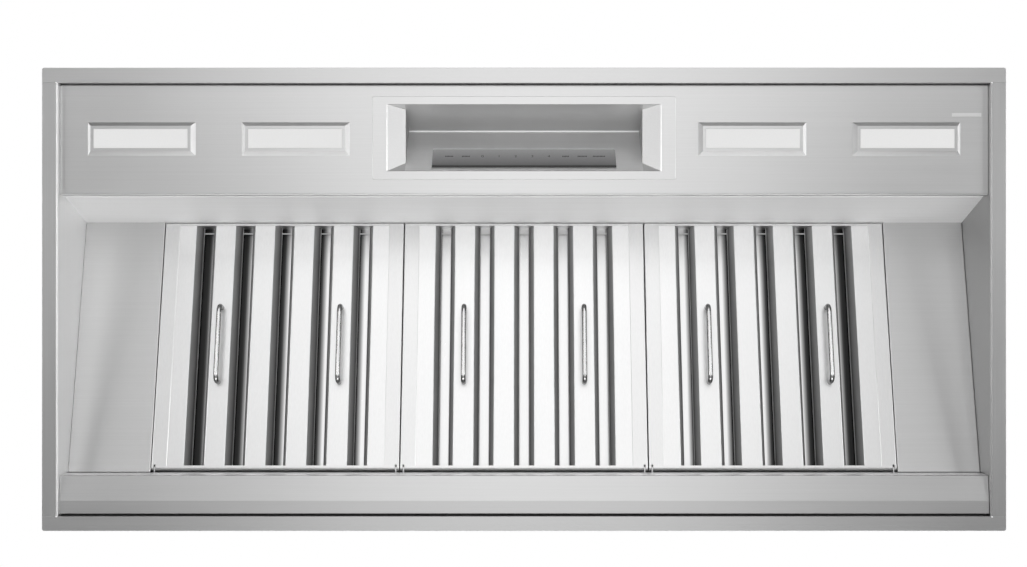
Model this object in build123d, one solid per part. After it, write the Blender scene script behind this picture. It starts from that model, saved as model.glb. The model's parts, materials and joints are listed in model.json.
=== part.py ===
from build123d import *
import math
import os

# Range hood insert: the steel box with lights, controls, baffle filters and blower that a
# cabinet maker's hood is built around. Sizes are in millimetres.
# X runs to the right and Y to the back, Z is up, and the origin is the middle of the
# underside of the trim flange. The cook stands at -Y and looks up into the filters.

# ---- trim flange and shell ----
FLANGE_LENGTH = 1178.0
FLANGE_DEPTH = 566.0
FLANGE_FRONT_WIDTH = 18.6
FLANGE_REAR_WIDTH = 17.8
FLANGE_SIDE_WIDTH = 17.1
FLANGE_CORNER_RADIUS = 3.0
FLANGE_EDGE_RADIUS = 0.5
RELIEF_RADIUS = 1.3
SHEET = 1.2
BODY_HEIGHT = 305.0
HEM_HEIGHT = 14.0
HEM_RADIUS = 1.0
WALL_LIP = 16.0
WALL_SCREW_RADIUS = 3.0
WALL_SCREW_SPACING_Y = 400.0
WALL_SCREW_SPACING_Z = 60.0
WALL_SCREW_TOP = 32.0

# ---- light and control panel ----
PANEL_RECESS = 8.0
PANEL_GAP = 0.5
PANEL_SIDE_GAP = 0.4
PANEL_DEPTH = 135.9
PANEL_FRONT_LIP = 12.0
PANEL_REAR_LIP = 20.0
PANEL_BEND = 2.4

# ---- sloped baffle plate and the sloping ceiling ----
BAFFLE_GAP = 1.0
BAFFLE_RUN = 27.2
BAFFLE_RISE = 86.0
BAFFLE_FOOT = 8.0
BAFFLE_BEND = 1.8
PIVOT_HEIGHT = 42.7
CATCH_HEIGHT = 20.0

# ---- filters ----
FILTER_COUNT = 3
CEILING_FILLER_WIDTH = 103.0
FILTER_SIDE_GAP = 1.4
FILTER_FRONT_GAP = 1.3
FILTER_THICKNESS = 27.0
FILTER_SHEET = 0.8
FILTER_BEND = 1.1
RIM_SIDE_WIDTH = 19.0
RIM_FRONT_WIDTH = 3.0
RIM_REAR_WIDTH = 6.8
RIM_REAR_BEVEL = 4.0
RIM_EDGE_CHAMFER = 0.6
RIM_TOP_WIDTH = 4.0
RIM_SIDE_TOP_WIDTH = 10.0
SLOT_COUNT = 5
SLOT_FROM_SIDE = 40.05
BAFFLE_HEIGHT = 20.0
BAFFLE_LEAN = 6.55
INNER_WEB_OVERLAP = 1.25
INNER_FOOT_OVERLAP = 4.25
INNER_FOOT_HEIGHT = 6.0
INNER_TOP_HEIGHT = 25.0
INNER_WEB_SAG = 1.0
TUCK = 4.0

# ---- filter handles, hinge and spring clips ----
HANDLE_LENGTH = 103.0
HANDLE_STANDOFF = 20.0
HANDLE_RADIUS = 3.0
HANDLE_BEND = 9.0
PIVOT_FROM_END = 4.0
PIVOT_FROM_FACE = 3.4
PIN_RADIUS = 1.5
PIN_LENGTH = 7.0
PIN_CLEARANCE = 0.06
LUG_RADIUS = 2.9
LUG_THICKNESS = 1.5
LUG_FROM_SIDE = 3.3
LUG_SLOT_GAP = 0.4
LUG_SLOT_DEPTH = 8.0
LUG_SLOT_HEIGHT = 9.0
CLIP_WIDTH = 12.0
CLIP_SHEET = 0.5
CLIP_SPREAD_SHARE = 0.646
CLIP_SEAT = 8.0
CLIP_BEND = 0.8
CLIP_ARM = 3.0
CLIP_NOSE = 4.2
CLIP_NOSE_DROP = 3.2
CLIP_TIP = 0.5
CLIP_TIP_RISE = 0.7

# ---- rear rail and grease tray ----
RAIL_GAP = 1.6
RAIL_HEIGHT = 32.0
RAIL_TOP_WIDTH = 15.0
RAIL_BEND = 1.8
TRAY_SHEET = 1.0
TRAY_BEND = 1.5
TRAY_RECESS = 3.0
TRAY_DEPTH = 47.0
TRAY_FRONT_GAP = 0.8
TRAY_REAR_GAP = 2.2
TRAY_SIDE_GAP = 0.5
TRAY_FRONT_HEIGHT = 36.2
TRAY_REAR_HEIGHT = 39.0
TRAY_END_HEIGHT = 31.0
TRAY_RISE = 5.0
TRAY_FLAT = 16.5
BRACKET_LEG = 14.0
BRACKET_LENGTH = 32.0
BRACKET_GAP = 0.3
TRAY_END_FLANGE = 12.0

# ---- ceiling fillers ----
FILLER_SHEET = 1.0
FILLER_GAP = 0.9
FILLER_WALL_LIP = 14.0
FILLER_FILTER_LIP = 22.0
FILLER_OVERRUN = 1.0
FILLER_BEND = 1.2

# ---- lights ----
LIGHT_INNER_SHARE = 0.2451
LIGHT_OUTER_SHARE = 0.7379
BEZEL_SHARE = 0.3455
LIGHT_FROM_FRONT = 67.2
BEZEL_DEPTH = 41.0
BEZEL_HEIGHT = 6.0
BEZEL_BEVEL = 5.0
LENS_FROM_END = 8.75
LENS_DEPTH = 23.4
LENS_THICKNESS = 3.0
LENS_GAP = 0.2
SPIGOT_WALL = 1.5
SPIGOT_HEIGHT = 6.0
SPIGOT_GAP = 0.2
MODULE_HEIGHT = 8.0
MODULE_BOSS = 5.5
LED_COUNT = 6
LED_SIZE = 3.0
LED_HEIGHT = 0.8

# ---- control plate, pocket and touch strip ----
PLATE_LENGTH = 372.0
PLATE_DEPTH = 102.0
PLATE_FROM_FRONT = 66.1
PLATE_PROUD = 2.0
PLATE_CORNER_RADIUS = 2.0
PLATE_EDGE_RADIUS = 0.8
POCKET_SHEET = 1.2
POCKET_WIDTH = 82.3
POCKET_REAR_MARGIN = 10.2
POCKET_APEX_OFFSET = 25.6
POCKET_APEX_FLAT = 2.0
POCKET_DEPTH = 66.0
POCKET_LENGTH = 337.2
POCKET_RAMP_RUN = 22.4
POCKET_RAMP_DEPTH = 13.5
POCKET_HOLE_GAP = 0.8
STRIP_LENGTH = 227.0
STRIP_WIDTH = 37.5
STRIP_FROM_EDGE = 8.0
STRIP_THICKNESS = 3.0
STRIP_EDGE = 1.2
BOARD_MARGIN = 2.0
BOARD_THICKNESS = 1.6
BOARD_STANDOFF = 6.0
POST_RADIUS = 2.5
POST_INSET = 6.0
DRIVER_LENGTH = 150.0
DRIVER_WIDTH = 34.0
DRIVER_HEIGHT = 28.0
DRIVER_EDGE_RADIUS = 2.0

# ---- blower ----
DUCT_FROM_REAR = 210.7
BLOWER_CLEARANCE = 3.3
BLOWER_HALF_DEPTH = 46.5
HOUSING_X = 105.0
HOUSING_WIDTH = 94.0
HOUSING_SHEET = 1.0
SCROLL_SHARE = 0.4575
SCROLL_STEP_SHARE = 0.1
INLET_SHARE = 0.743
WHEEL_SHARE = 0.9
WHEEL_WIDTH = 80.0
BLADE_COUNT = 24
BLADE_INNER_SHARE = 0.81
BLADE_LEAD = 9.0
BLADE_BOW = 3.5
BLADE_ANGLE = 1.3
RING_WIDTH = 2.0
RING_INNER_SHARE = 0.905
HUB_RADIUS = 13.0
HUB_LENGTH = 18.0
DISC_THICKNESS = 1.6
DISC_MARGIN = 1.0
SHAFT_RADIUS = 5.0
SHAFT_OVERHANG = 16.0
SHAFT_CLEARANCE = 0.05
MOTOR_SHARE = 0.6
MOTOR_LENGTH = 96.0
MOTOR_EDGE = 3.0
SPIDER_RING = 3.0
SPIDER_FIT = 0.05
SPIDER_DEPTH = 16.0
SPIDER_REACH = 17.0
SPIDER_ARM_WIDTH = 9.0
SPIDER_SHEET = 2.0
SPIDER_ARMS = 3

# ---- outlet adapter, collar and damper ----
ADAPTER_SHEET = 1.0
ADAPTER_FOOT = 10.0
ADAPTER_HEIGHT = 31.8
COLLAR_RADIUS = 126.0
COLLAR_SHEET = 1.0
COLLAR_HEIGHT = 55.0
COLLAR_FOOT = 14.0
ROD_RADIUS = 2.5
ROD_HEIGHT = 22.0
ROD_CLEARANCE = 0.06
KNUCKLE_WALL = 1.1
KNUCKLE_COUNT = 5
KNUCKLE_SPAN = 200.0
KNUCKLE_GAP = 0.6
FLAP_SHEET = 0.8
FLAP_RIM_GAP = 1.5
FLAP_ROD_GAP = 1.0
STOP_GAP = 0.3
STOP_LENGTH = 6.0
STOP_WIDTH = 6.0
STOP_HEIGHT = 3.0
STOP_ANGLE = 50.0

# ---- junction box and screws ----
BOX_FROM_WALL = 99.5
BOX_FROM_REAR = 80.2
BOX_LENGTH = 100.0
BOX_DEPTH = 70.0
BOX_HEIGHT = 50.0
BOX_SHEET = 1.0
BOX_EAR = 12.0
COVER_LIP = 6.0
KNOCKOUT_RADIUS = 11.1
SCREW_RADIUS = 1.9
SCREW_CLEARANCE = 0.1
SCREW_LENGTH = 8.0
HEAD_RADIUS = 3.8
HEAD_HEIGHT = 2.2
HEAD_EDGE = 0.8
SCREWS_PER_SIDE = 5
SCREW_FROM_WALL = 79.5

# ---- places worked out from the sizes above ----
half_length = FLANGE_LENGTH / 2
half_depth = FLANGE_DEPTH / 2
front_edge = -half_depth + FLANGE_FRONT_WIDTH
rear_edge = half_depth - FLANGE_REAR_WIDTH
hem_outer = half_length - FLANGE_SIDE_WIDTH
wall_outer = hem_outer - SHEET
wall_inner = wall_outer - SHEET
wall_top = BODY_HEIGHT - SHEET
panel_front = front_edge + PANEL_GAP
panel_rear = panel_front + PANEL_DEPTH
panel_top = PANEL_RECESS + SHEET
foot_y = panel_rear + BAFFLE_GAP
foot_z = PANEL_RECESS + PANEL_REAR_LIP
ceiling_y = foot_y + BAFFLE_RUN
ceiling_z = foot_z + BAFFLE_RISE
tray_rear = rear_edge - TRAY_REAR_GAP
tray_front = tray_rear - TRAY_DEPTH
pivot_sweep = math.hypot(PIVOT_FROM_END, RIM_REAR_BEVEL - PIVOT_FROM_FACE)
pivot_y = tray_front - TRAY_FRONT_GAP - pivot_sweep
pivot_reach = math.hypot(pivot_y - ceiling_y, ceiling_z - PIVOT_HEIGHT)
pivot_slope = math.atan2(ceiling_z - PIVOT_HEIGHT, pivot_y - ceiling_y)
slope = pivot_slope + math.asin(PIVOT_FROM_FACE / pivot_reach)
ceiling = Plane(origin=(0, ceiling_y, ceiling_z), x_dir=(1, 0, 0),
                z_dir=(0, math.sin(slope), math.cos(slope)))
filter_pitch = 2 * (wall_inner - CEILING_FILLER_WIDTH) / FILTER_COUNT
filter_half = (filter_pitch - FILTER_SIDE_GAP) / 2
slot_pitch = 2 * (filter_half - SLOT_FROM_SIDE) / (SLOT_COUNT - 0.5)
slot_width = slot_pitch / 2
filter_end = math.sqrt(pivot_reach ** 2 - PIVOT_FROM_FACE ** 2) + PIVOT_FROM_END
box_x = wall_inner - BOX_FROM_WALL
box_y = rear_edge - BOX_FROM_REAR
filter_x = [(i - (FILTER_COUNT - 1) / 2) * filter_pitch for i in range(FILTER_COUNT)]
slot_x = [(i - (SLOT_COUNT - 1) / 2) * slot_pitch for i in range(SLOT_COUNT)]


def ceiling_point(y, z):
    """World Y and Z of a point y down the sloping ceiling and z above it."""
    world_y = ceiling_y + y * math.cos(slope) + z * math.sin(slope)
    world_z = ceiling_z - y * math.sin(slope) + z * math.cos(slope)
    return world_y, world_z


pivot = ceiling_point(filter_end - PIVOT_FROM_END, PIVOT_FROM_FACE)
rail_y = ceiling_point(filter_end, FILTER_THICKNESS)[0] + RAIL_GAP
rail_bottom = pivot[1] - LUG_RADIUS
plate_face = PANEL_RECESS - PLATE_PROUD
light_y = panel_front + LIGHT_FROM_FRONT
plate_y = panel_front + PLATE_FROM_FRONT
pocket_rear = plate_y + PLATE_DEPTH / 2 - POCKET_REAR_MARGIN
pocket_front = pocket_rear - POCKET_WIDTH
pocket_apex = pocket_front + POCKET_APEX_OFFSET
duct_y = rear_edge - DUCT_FROM_REAR
mouth_z = wall_top - ADAPTER_HEIGHT
filter_top = ceiling_z + FILTER_THICKNESS / math.cos(slope)
blower_floor = filter_top - (duct_y - BLOWER_HALF_DEPTH - ceiling_y) * math.tan(slope) + BLOWER_CLEARANCE
blower_space = mouth_z - blower_floor
scroll_start = SCROLL_SHARE * blower_space
scroll_step = SCROLL_STEP_SHARE * scroll_start
outlet_depth = scroll_start + 3 * scroll_step
blower_y = duct_y + outlet_depth / 2
blower_z = blower_floor + scroll_start + scroll_step
mouth_height = mouth_z - blower_z
inlet_radius = INLET_SHARE * scroll_start
wheel_radius = WHEEL_SHARE * scroll_start
blade_inner = BLADE_INNER_SHARE * wheel_radius
motor_radius = MOTOR_SHARE * scroll_start
rod_z = BODY_HEIGHT + ROD_HEIGHT
duct_radius = COLLAR_RADIUS - COLLAR_SHEET


def block(x0, x1, y0, y1, z0, z1):
    """A block between two corners."""
    solid = Box(abs(x1 - x0), abs(y1 - y0), abs(z1 - z0))
    return Pos((x0 + x1) / 2, (y0 + y1) / 2, (z0 + z1) / 2) * solid


def along_x(face, x0, x1):
    """A face drawn in Y and Z, extruded from x0 to x1."""
    solid = extrude(face, amount=x1 - x0, dir=(0, 0, 1))
    return Plane(origin=(x0, 0, 0), x_dir=(0, 1, 0), z_dir=(1, 0, 0)) * solid


def along_y(face, y0, y1):
    """A face drawn in X and Z, extruded from y0 to y1."""
    solid = extrude(face, amount=y1 - y0, dir=(0, 0, 1))
    return Plane(origin=(0, y1, 0), x_dir=(1, 0, 0), z_dir=(0, -1, 0)) * solid


def folded(points, sheet, bends, side=Side.LEFT):
    """The section of a folded sheet: one face of it as a path with bends, and its thickness."""
    path = Wire(FilletPolyline(*points, radius=bends).edges())
    return Face(path.offset_2d(sheet, kind=Kind.INTERSECTION, side=side, closed=True))


def polygon(points):
    """A face with straight sides."""
    return make_face(Polyline(*points, close=True))


def rod_x(radius, x0, x1, y, z):
    """A round bar along X."""
    return Pos((x0 + x1) / 2, y, z) * Rot(0, 90, 0) * Cylinder(radius, x1 - x0)


def left_of(solid):
    """The mirror image on the left side."""
    return mirror(solid, about=Plane.YZ)


nodes = {}


def keep(name, *shapes):
    """Store the separate solids of one sub-part."""
    nodes[name] = [solid for shape in shapes for solid in shape.solids()]


# ---- trim flange ----
def flange_strip(outer_y, inner_y):
    """A full-width strip with rounded outer corners and a relief at each inner corner."""
    strip = block(-half_length, half_length, outer_y, inner_y, 0, SHEET)
    corners = [e for e in strip.edges().filter_by(Axis.Z) if abs(e.center().Y - outer_y) < 0.01]
    strip = fillet(corners, FLANGE_CORNER_RADIUS)
    lower = strip.edges().group_by(Axis.Z)[0].filter_by(Axis.X)
    strip = fillet(lower, FLANGE_EDGE_RADIUS)
    for side in (-1, 1):
        strip -= Pos(side * hem_outer, inner_y, SHEET / 2) * Cylinder(RELIEF_RADIUS, SHEET * 2)
    return strip


side_strip = block(hem_outer, half_length, front_edge, rear_edge, 0, SHEET)
side_strip = fillet(side_strip.edges().group_by(Axis.Z)[0].filter_by(Axis.Y), FLANGE_EDGE_RADIUS)
keep("flange_front", flange_strip(-half_depth, front_edge))
keep("flange_rear", flange_strip(half_depth, rear_edge))
keep("flange_left", left_of(side_strip))
keep("flange_right", side_strip)


# ---- shell walls and top ----
screw_span = 2 * (wall_inner - SCREW_FROM_WALL)
screw_x = [(i / (SCREWS_PER_SIDE - 1) - 0.5) * screw_span for i in range(SCREWS_PER_SIDE)]
screw_y = (front_edge + WALL_LIP / 2, rear_edge - WALL_LIP / 2)
screw_holes = [Pos(x, y, wall_top) * Cylinder(SCREW_RADIUS + SCREW_CLEARANCE, SHEET * 4)
               for x in screw_x for y in screw_y]
lip_half = wall_inner - WALL_LIP - SHEET


def end_wall(inner_y, inward):
    """The front or rear wall: it stands on the flange, with a lip under the top panel."""
    plate = block(-wall_outer, wall_outer, inner_y, inner_y - inward * SHEET, SHEET, wall_top)
    lip = block(-lip_half, lip_half, inner_y, inner_y + inward * WALL_LIP, wall_top - SHEET, wall_top)
    return plate + lip - screw_holes


side_section = polygon([
    (wall_inner, 0), (hem_outer, 0), (hem_outer, HEM_HEIGHT), (wall_outer, HEM_HEIGHT),
    (wall_outer, wall_top), (wall_inner - WALL_LIP, wall_top),
    (wall_inner - WALL_LIP, wall_top - SHEET), (wall_inner, wall_top - SHEET)])
side_wall = along_y(side_section, front_edge, rear_edge)
side_wall = fillet(side_wall.edges().group_by(Axis.Z)[0].filter_by(Axis.Y), HEM_RADIUS)
wall_screw_z = BODY_HEIGHT - WALL_SCREW_TOP - WALL_SCREW_SPACING_Z / 2
for dy in (-WALL_SCREW_SPACING_Y / 2, WALL_SCREW_SPACING_Y / 2):
    for dz in (-WALL_SCREW_SPACING_Z / 2, WALL_SCREW_SPACING_Z / 2):
        side_wall -= rod_x(WALL_SCREW_RADIUS, wall_inner - SHEET, hem_outer, dy, wall_screw_z + dz)
keep("wall_front", end_wall(front_edge, 1))
keep("wall_rear", end_wall(rear_edge, -1))
keep("wall_left", left_of(side_wall))
keep("wall_right", side_wall)

duct_hole = Pos(0, duct_y, wall_top) * Cylinder(duct_radius - ADAPTER_SHEET, SHEET * 4)
knockout = Pos(box_x, box_y, wall_top) * Cylinder(KNOCKOUT_RADIUS, SHEET * 4)
top_sheets = []
for x0, x1 in ((-wall_outer, 0), (0, wall_outer)):
    for y0, y1 in ((front_edge - SHEET, duct_y), (duct_y, rear_edge + SHEET)):
        # The top is four sheets whose seams meet at the duct hole.
        sheet = block(x0, x1, y0, y1, wall_top, BODY_HEIGHT)
        top_sheets.append(sheet - duct_hole - knockout - screw_holes)
keep("top_panel", *top_sheets)

screws = []
for x in screw_x:
    for y in screw_y:
        head = Pos(x, y, BODY_HEIGHT) * extrude(RegularPolygon(HEAD_RADIUS, 6), amount=HEAD_HEIGHT)
        head = chamfer(head.edges().group_by(Axis.Z)[-1], HEAD_EDGE)
        shank = Pos(x, y, BODY_HEIGHT - SCREW_LENGTH / 2) * Cylinder(SCREW_RADIUS, SCREW_LENGTH)
        screws.append(head + shank)
keep("top_screws", *screws)


# ---- light and control panel ----
light_bay = wall_inner - PLATE_LENGTH / 2
light_inner = PLATE_LENGTH / 2 + LIGHT_INNER_SHARE * light_bay
light_outer = PLATE_LENGTH / 2 + LIGHT_OUTER_SHARE * light_bay
light_x = (-light_outer, -light_inner, light_inner, light_outer)
bezel_length = BEZEL_SHARE * light_bay
lens_length = bezel_length - 2 * LENS_FROM_END
spigot_length = lens_length + 2 * (LENS_GAP + SPIGOT_WALL)
spigot_depth = LENS_DEPTH + 2 * (LENS_GAP + SPIGOT_WALL)
panel_half = wall_inner - PANEL_SIDE_GAP
panel_section = folded([
    (panel_front, PANEL_RECESS + PANEL_FRONT_LIP), (panel_front, PANEL_RECESS),
    (panel_rear, PANEL_RECESS), (panel_rear, foot_z)], SHEET, PANEL_BEND)
panel = along_x(panel_section, -panel_half, panel_half)
for x in light_x:
    hole = Box(spigot_length + 2 * SPIGOT_GAP, spigot_depth + 2 * SPIGOT_GAP, SHEET * 4)
    panel -= Pos(x, light_y, panel_top) * hole
pocket_grow = POCKET_SHEET + POCKET_HOLE_GAP
panel -= block(-POCKET_LENGTH / 2 - pocket_grow, POCKET_LENGTH / 2 + pocket_grow,
               pocket_front - pocket_grow, pocket_rear + pocket_grow, 0, panel_top + SHEET)
keep("light_panel", panel)


# ---- lights ----
def bezel(x):
    """A low frame with four sloped sides, and a spigot through the panel."""
    base = Pos(x, light_y, PANEL_RECESS) * Rectangle(bezel_length, BEZEL_DEPTH)
    plateau = Pos(x, light_y, PANEL_RECESS - BEZEL_HEIGHT) * Rectangle(
        bezel_length - 2 * BEZEL_BEVEL, BEZEL_DEPTH - 2 * BEZEL_BEVEL)
    frame = loft([base.face(), plateau.face()])
    spigot = Box(spigot_length, spigot_depth, SPIGOT_HEIGHT)
    frame += Pos(x, light_y, PANEL_RECESS + SPIGOT_HEIGHT / 2) * spigot
    opening = Box(lens_length + 2 * LENS_GAP, LENS_DEPTH + 2 * LENS_GAP, 4 * BEZEL_HEIGHT)
    return frame - Pos(x, light_y, PANEL_RECESS) * opening


def lens(x):
    """The frosted cover, flush with the bezel."""
    z = PANEL_RECESS - BEZEL_HEIGHT + LENS_THICKNESS / 2
    return Pos(x, light_y, z) * Box(lens_length, LENS_DEPTH, LENS_THICKNESS)


def led_module(x):
    """The heat sink on the spigot, with a boss inside it that carries the row of LEDs."""
    top = PANEL_RECESS + SPIGOT_HEIGHT
    module = Pos(x, light_y, top + MODULE_HEIGHT / 2) * Box(spigot_length, spigot_depth, MODULE_HEIGHT)
    module += Pos(x, light_y, top - MODULE_BOSS / 2) * Box(lens_length, LENS_DEPTH, MODULE_BOSS)
    for i in range(LED_COUNT):
        led_x = x + ((i + 0.5) / LED_COUNT - 0.5) * lens_length
        led_z = top - MODULE_BOSS - LED_HEIGHT / 2
        module += Pos(led_x, light_y, led_z) * Box(LED_SIZE, LED_SIZE, LED_HEIGHT)
    return module


for number, x in enumerate(light_x, 1):
    keep(f"light_{number}_bezel", bezel(x))
    keep(f"light_{number}_lens", lens(x))
keep("led_modules", *[led_module(x) for x in light_x])


# ---- control plate with its pocket, touch strip and board ----
pocket_top = plate_face + POCKET_DEPTH
ramp_inner = POCKET_LENGTH / 2 - POCKET_RAMP_RUN
pocket_cross = [(pocket_front, plate_face), (pocket_apex - POCKET_APEX_FLAT / 2, pocket_top),
                (pocket_apex + POCKET_APEX_FLAT / 2, pocket_top), (pocket_rear, plate_face)]
pocket_long = [(-POCKET_LENGTH / 2, plate_face), (-ramp_inner, plate_face + POCKET_RAMP_DEPTH),
               (-ramp_inner, pocket_top), (ramp_inner, pocket_top),
               (ramp_inner, plate_face + POCKET_RAMP_DEPTH), (POCKET_LENGTH / 2, plate_face)]


def pocket_form(grow):
    """The pocket's inside, or with the sheet's thickness its outside: a V crossed with ramps."""
    cross = polygon(pocket_cross)
    long = polygon(pocket_long)
    if grow:
        cross = offset(cross, amount=grow, kind=Kind.INTERSECTION)
        long = offset(long, amount=grow, kind=Kind.INTERSECTION)
    form = along_x(cross, -PLATE_LENGTH / 2, PLATE_LENGTH / 2) & along_y(
        long, plate_y - PLATE_DEPTH / 2, plate_y + PLATE_DEPTH / 2)
    below = block(-PLATE_LENGTH, PLATE_LENGTH, -half_depth, 0, -PANEL_RECESS, plate_face)
    return form - below if grow else form


plate = block(-PLATE_LENGTH / 2, PLATE_LENGTH / 2, plate_y - PLATE_DEPTH / 2, plate_y + PLATE_DEPTH / 2,
              plate_face, PANEL_RECESS)
plate = fillet(plate.edges().filter_by(Axis.Z), PLATE_CORNER_RADIUS)
plate = fillet(plate.edges().group_by(Axis.Z)[0], PLATE_EDGE_RADIUS)
keep("control_plate", plate + pocket_form(POCKET_SHEET) - pocket_form(0))

wall_run = pocket_rear - pocket_apex - POCKET_APEX_FLAT / 2
wall_length = math.hypot(wall_run, POCKET_DEPTH)
pocket_wall = Plane(origin=(0, pocket_rear, plate_face), x_dir=(1, 0, 0),
                    z_dir=(0, -POCKET_DEPTH / wall_length, -wall_run / wall_length))
strip_middle = STRIP_FROM_EDGE + STRIP_WIDTH / 2
strip = Box(STRIP_LENGTH, STRIP_WIDTH, STRIP_THICKNESS)
strip = chamfer(strip.edges().group_by(Axis.Z)[-1], STRIP_EDGE)
keep("touch_strip", pocket_wall * Pos(0, strip_middle, STRIP_THICKNESS / 2) * strip)

board_length = STRIP_LENGTH - 2 * BOARD_MARGIN
board_width = STRIP_WIDTH - 2 * BOARD_MARGIN
board_z = -POCKET_SHEET - BOARD_STANDOFF
board = Pos(0, 0, board_z - BOARD_THICKNESS / 2) * Box(board_length, board_width, BOARD_THICKNESS)
for x in (-board_length / 2 + POST_INSET, board_length / 2 - POST_INSET):
    for y in (-board_width / 2 + POST_INSET, board_width / 2 - POST_INSET):
        board += Pos(x, y, board_z + BOARD_STANDOFF / 2) * Cylinder(POST_RADIUS, BOARD_STANDOFF)
keep("control_board", pocket_wall * Pos(0, strip_middle, 0) * board)

driver_x = -(light_inner + light_outer) / 2
driver_y = panel_front + PANEL_BEND + 2 * SHEET
driver = block(driver_x - DRIVER_LENGTH / 2, driver_x + DRIVER_LENGTH / 2,
               driver_y, driver_y + DRIVER_WIDTH, panel_top, panel_top + DRIVER_HEIGHT)
keep("led_driver", fillet(driver.edges().filter_by(Axis.Z), DRIVER_EDGE_RADIUS))


# ---- sloped baffle plate: foot, slope, catch for the filters, and roof of the light box ----
catch_top = ceiling_point(0, CATCH_HEIGHT)
baffle_section = folded([
    (panel_rear - BAFFLE_FOOT, foot_z), (foot_y, foot_z), (ceiling_y, ceiling_z), catch_top,
    (front_edge, catch_top[1])], SHEET, BAFFLE_BEND)
keep("baffle_plate", along_x(baffle_section, -wall_inner, wall_inner))


# ---- ceiling fillers ----
filler_x = filter_x[-1] + filter_half + FILLER_GAP
filler_section = folded([
    (wall_inner, FILLER_WALL_LIP), (wall_inner, 0), (filler_x, 0), (filler_x, FILLER_FILTER_LIP)],
    FILLER_SHEET, FILLER_BEND, Side.RIGHT)
filler = ceiling * along_y(filler_section, 0, filter_end + FILLER_OVERRUN)
keep("filler_left", left_of(filler))
keep("filler_right", filler)


# ---- filters, drawn on the ceiling plane about their own middle ----
slot_half = slot_width / 2
outer_low = FILTER_SHEET
outer_high = outer_low + BAFFLE_HEIGHT
inside_start = FILTER_FRONT_GAP + FILTER_SHEET
inside_end = filter_end - FILTER_SHEET
lug_outer = filter_half - LUG_FROM_SIDE
lug_inner = lug_outer - LUG_THICKNESS
lug_slot = block(lug_inner - LUG_SLOT_GAP, lug_outer + LUG_SLOT_GAP, filter_end - LUG_SLOT_DEPTH,
                 filter_end + FILTER_SHEET, -FILTER_SHEET, LUG_SLOT_HEIGHT)
lug_slots = [lug_slot, left_of(lug_slot)]


rear_section = folded([
    (filter_end - RIM_REAR_WIDTH, 0), (filter_end - RIM_REAR_BEVEL, 0), (filter_end, RIM_REAR_BEVEL),
    (filter_end, FILTER_THICKNESS), (filter_end - RIM_TOP_WIDTH, FILTER_THICKNESS)],
    FILTER_SHEET, FILTER_BEND)
rear_rim = along_x(rear_section, -filter_half, filter_half)
bevel_foot = filter_end - RIM_REAR_BEVEL - FILTER_SHEET / 2
rear_wedge = polygon([(bevel_foot, 0), (filter_end, filter_end - bevel_foot), (filter_end, 0)])
rear_limit = [rear_rim, along_x(rear_wedge, -filter_half, filter_half)]


def side_rim():
    """The right-hand rim channel with its hinge pin."""
    inner_edge = filter_half - RIM_SIDE_WIDTH
    section = folded([
        (inner_edge, 0), (filter_half, 0), (filter_half, FILTER_THICKNESS),
        (filter_half - RIM_SIDE_TOP_WIDTH, FILTER_THICKNESS)], FILTER_SHEET, FILTER_BEND)
    cut_edge = [(inner_edge, 0), (inner_edge + RIM_EDGE_CHAMFER, 0), (inner_edge, RIM_EDGE_CHAMFER)]
    channel = along_y(section - polygon(cut_edge), inside_start, filter_end) - rear_limit - lug_slots
    rim = channel.solids().sort_by(SortBy.VOLUME)[-1]
    pin_end = filter_half - FILTER_SHEET / 2
    pin_y = filter_end - PIVOT_FROM_END
    return rim + rod_x(PIN_RADIUS, pin_end - PIN_LENGTH, pin_end, pin_y, PIVOT_FROM_FACE)


def front_rim():
    """The front rim channel: a full-width end wall with two flanges between the side rims."""
    y0 = FILTER_FRONT_GAP
    low_half = filter_half - RIM_SIDE_WIDTH
    high_half = filter_half - RIM_SIDE_TOP_WIDTH
    rim = block(-filter_half, filter_half, y0, y0 + FILTER_SHEET, 0, FILTER_THICKNESS)
    rim += block(-low_half, low_half, y0, y0 + RIM_FRONT_WIDTH, 0, FILTER_SHEET)
    rim += block(-high_half, high_half, y0, y0 + RIM_TOP_WIDTH,
                 FILTER_THICKNESS - FILTER_SHEET, FILTER_THICKNESS)
    return rim


def outer_bar(x):
    """A trough-shaped baffle between two slots, wider at its top."""
    half = (slot_pitch - slot_width) / 2
    section = folded([
        (x - half - BAFFLE_LEAN, outer_high), (x - half, outer_low), (x + half, outer_low),
        (x + half + BAFFLE_LEAN, outer_high)], FILTER_SHEET, FILTER_BEND)
    return along_y(section, inside_start, inside_end) - rear_limit


def end_bar():
    """The baffle at the right-hand rim, tucked over its flange."""
    slot_edge = slot_x[-1] + slot_half
    outer_edge = filter_half - RIM_SIDE_WIDTH + TUCK
    section = folded([
        (slot_edge - BAFFLE_LEAN, outer_high), (slot_edge, outer_low), (outer_edge, outer_low),
        (outer_edge, outer_high)], FILTER_SHEET, FILTER_BEND)
    return along_y(section, inside_start, inside_end) - rear_limit


def inner_bar(x):
    """The inverted channel over a slot: its web sags a little, its feet stand in the outer baffles."""
    left = (x - slot_half - INNER_WEB_OVERLAP, INNER_TOP_HEIGHT)
    right = (x + slot_half + INNER_WEB_OVERLAP, INNER_TOP_HEIGHT)
    left_foot = (x - slot_half - INNER_FOOT_OVERLAP, INNER_FOOT_HEIGHT)
    right_foot = (x + slot_half + INNER_FOOT_OVERLAP, INNER_FOOT_HEIGHT)
    web = ThreePointArc(left, (x, INNER_TOP_HEIGHT - INNER_WEB_SAG), right)
    path = Wire([Line(left_foot, left), web, Line(right, right_foot)])
    path = path.fillet_2d(FILTER_BEND, path.vertices().group_by(Axis.Y)[-1])
    section = Face(path.offset_2d(FILTER_SHEET, kind=Kind.INTERSECTION, side=Side.LEFT, closed=True))
    return along_y(section, inside_start, inside_end) - rear_rim


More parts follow.
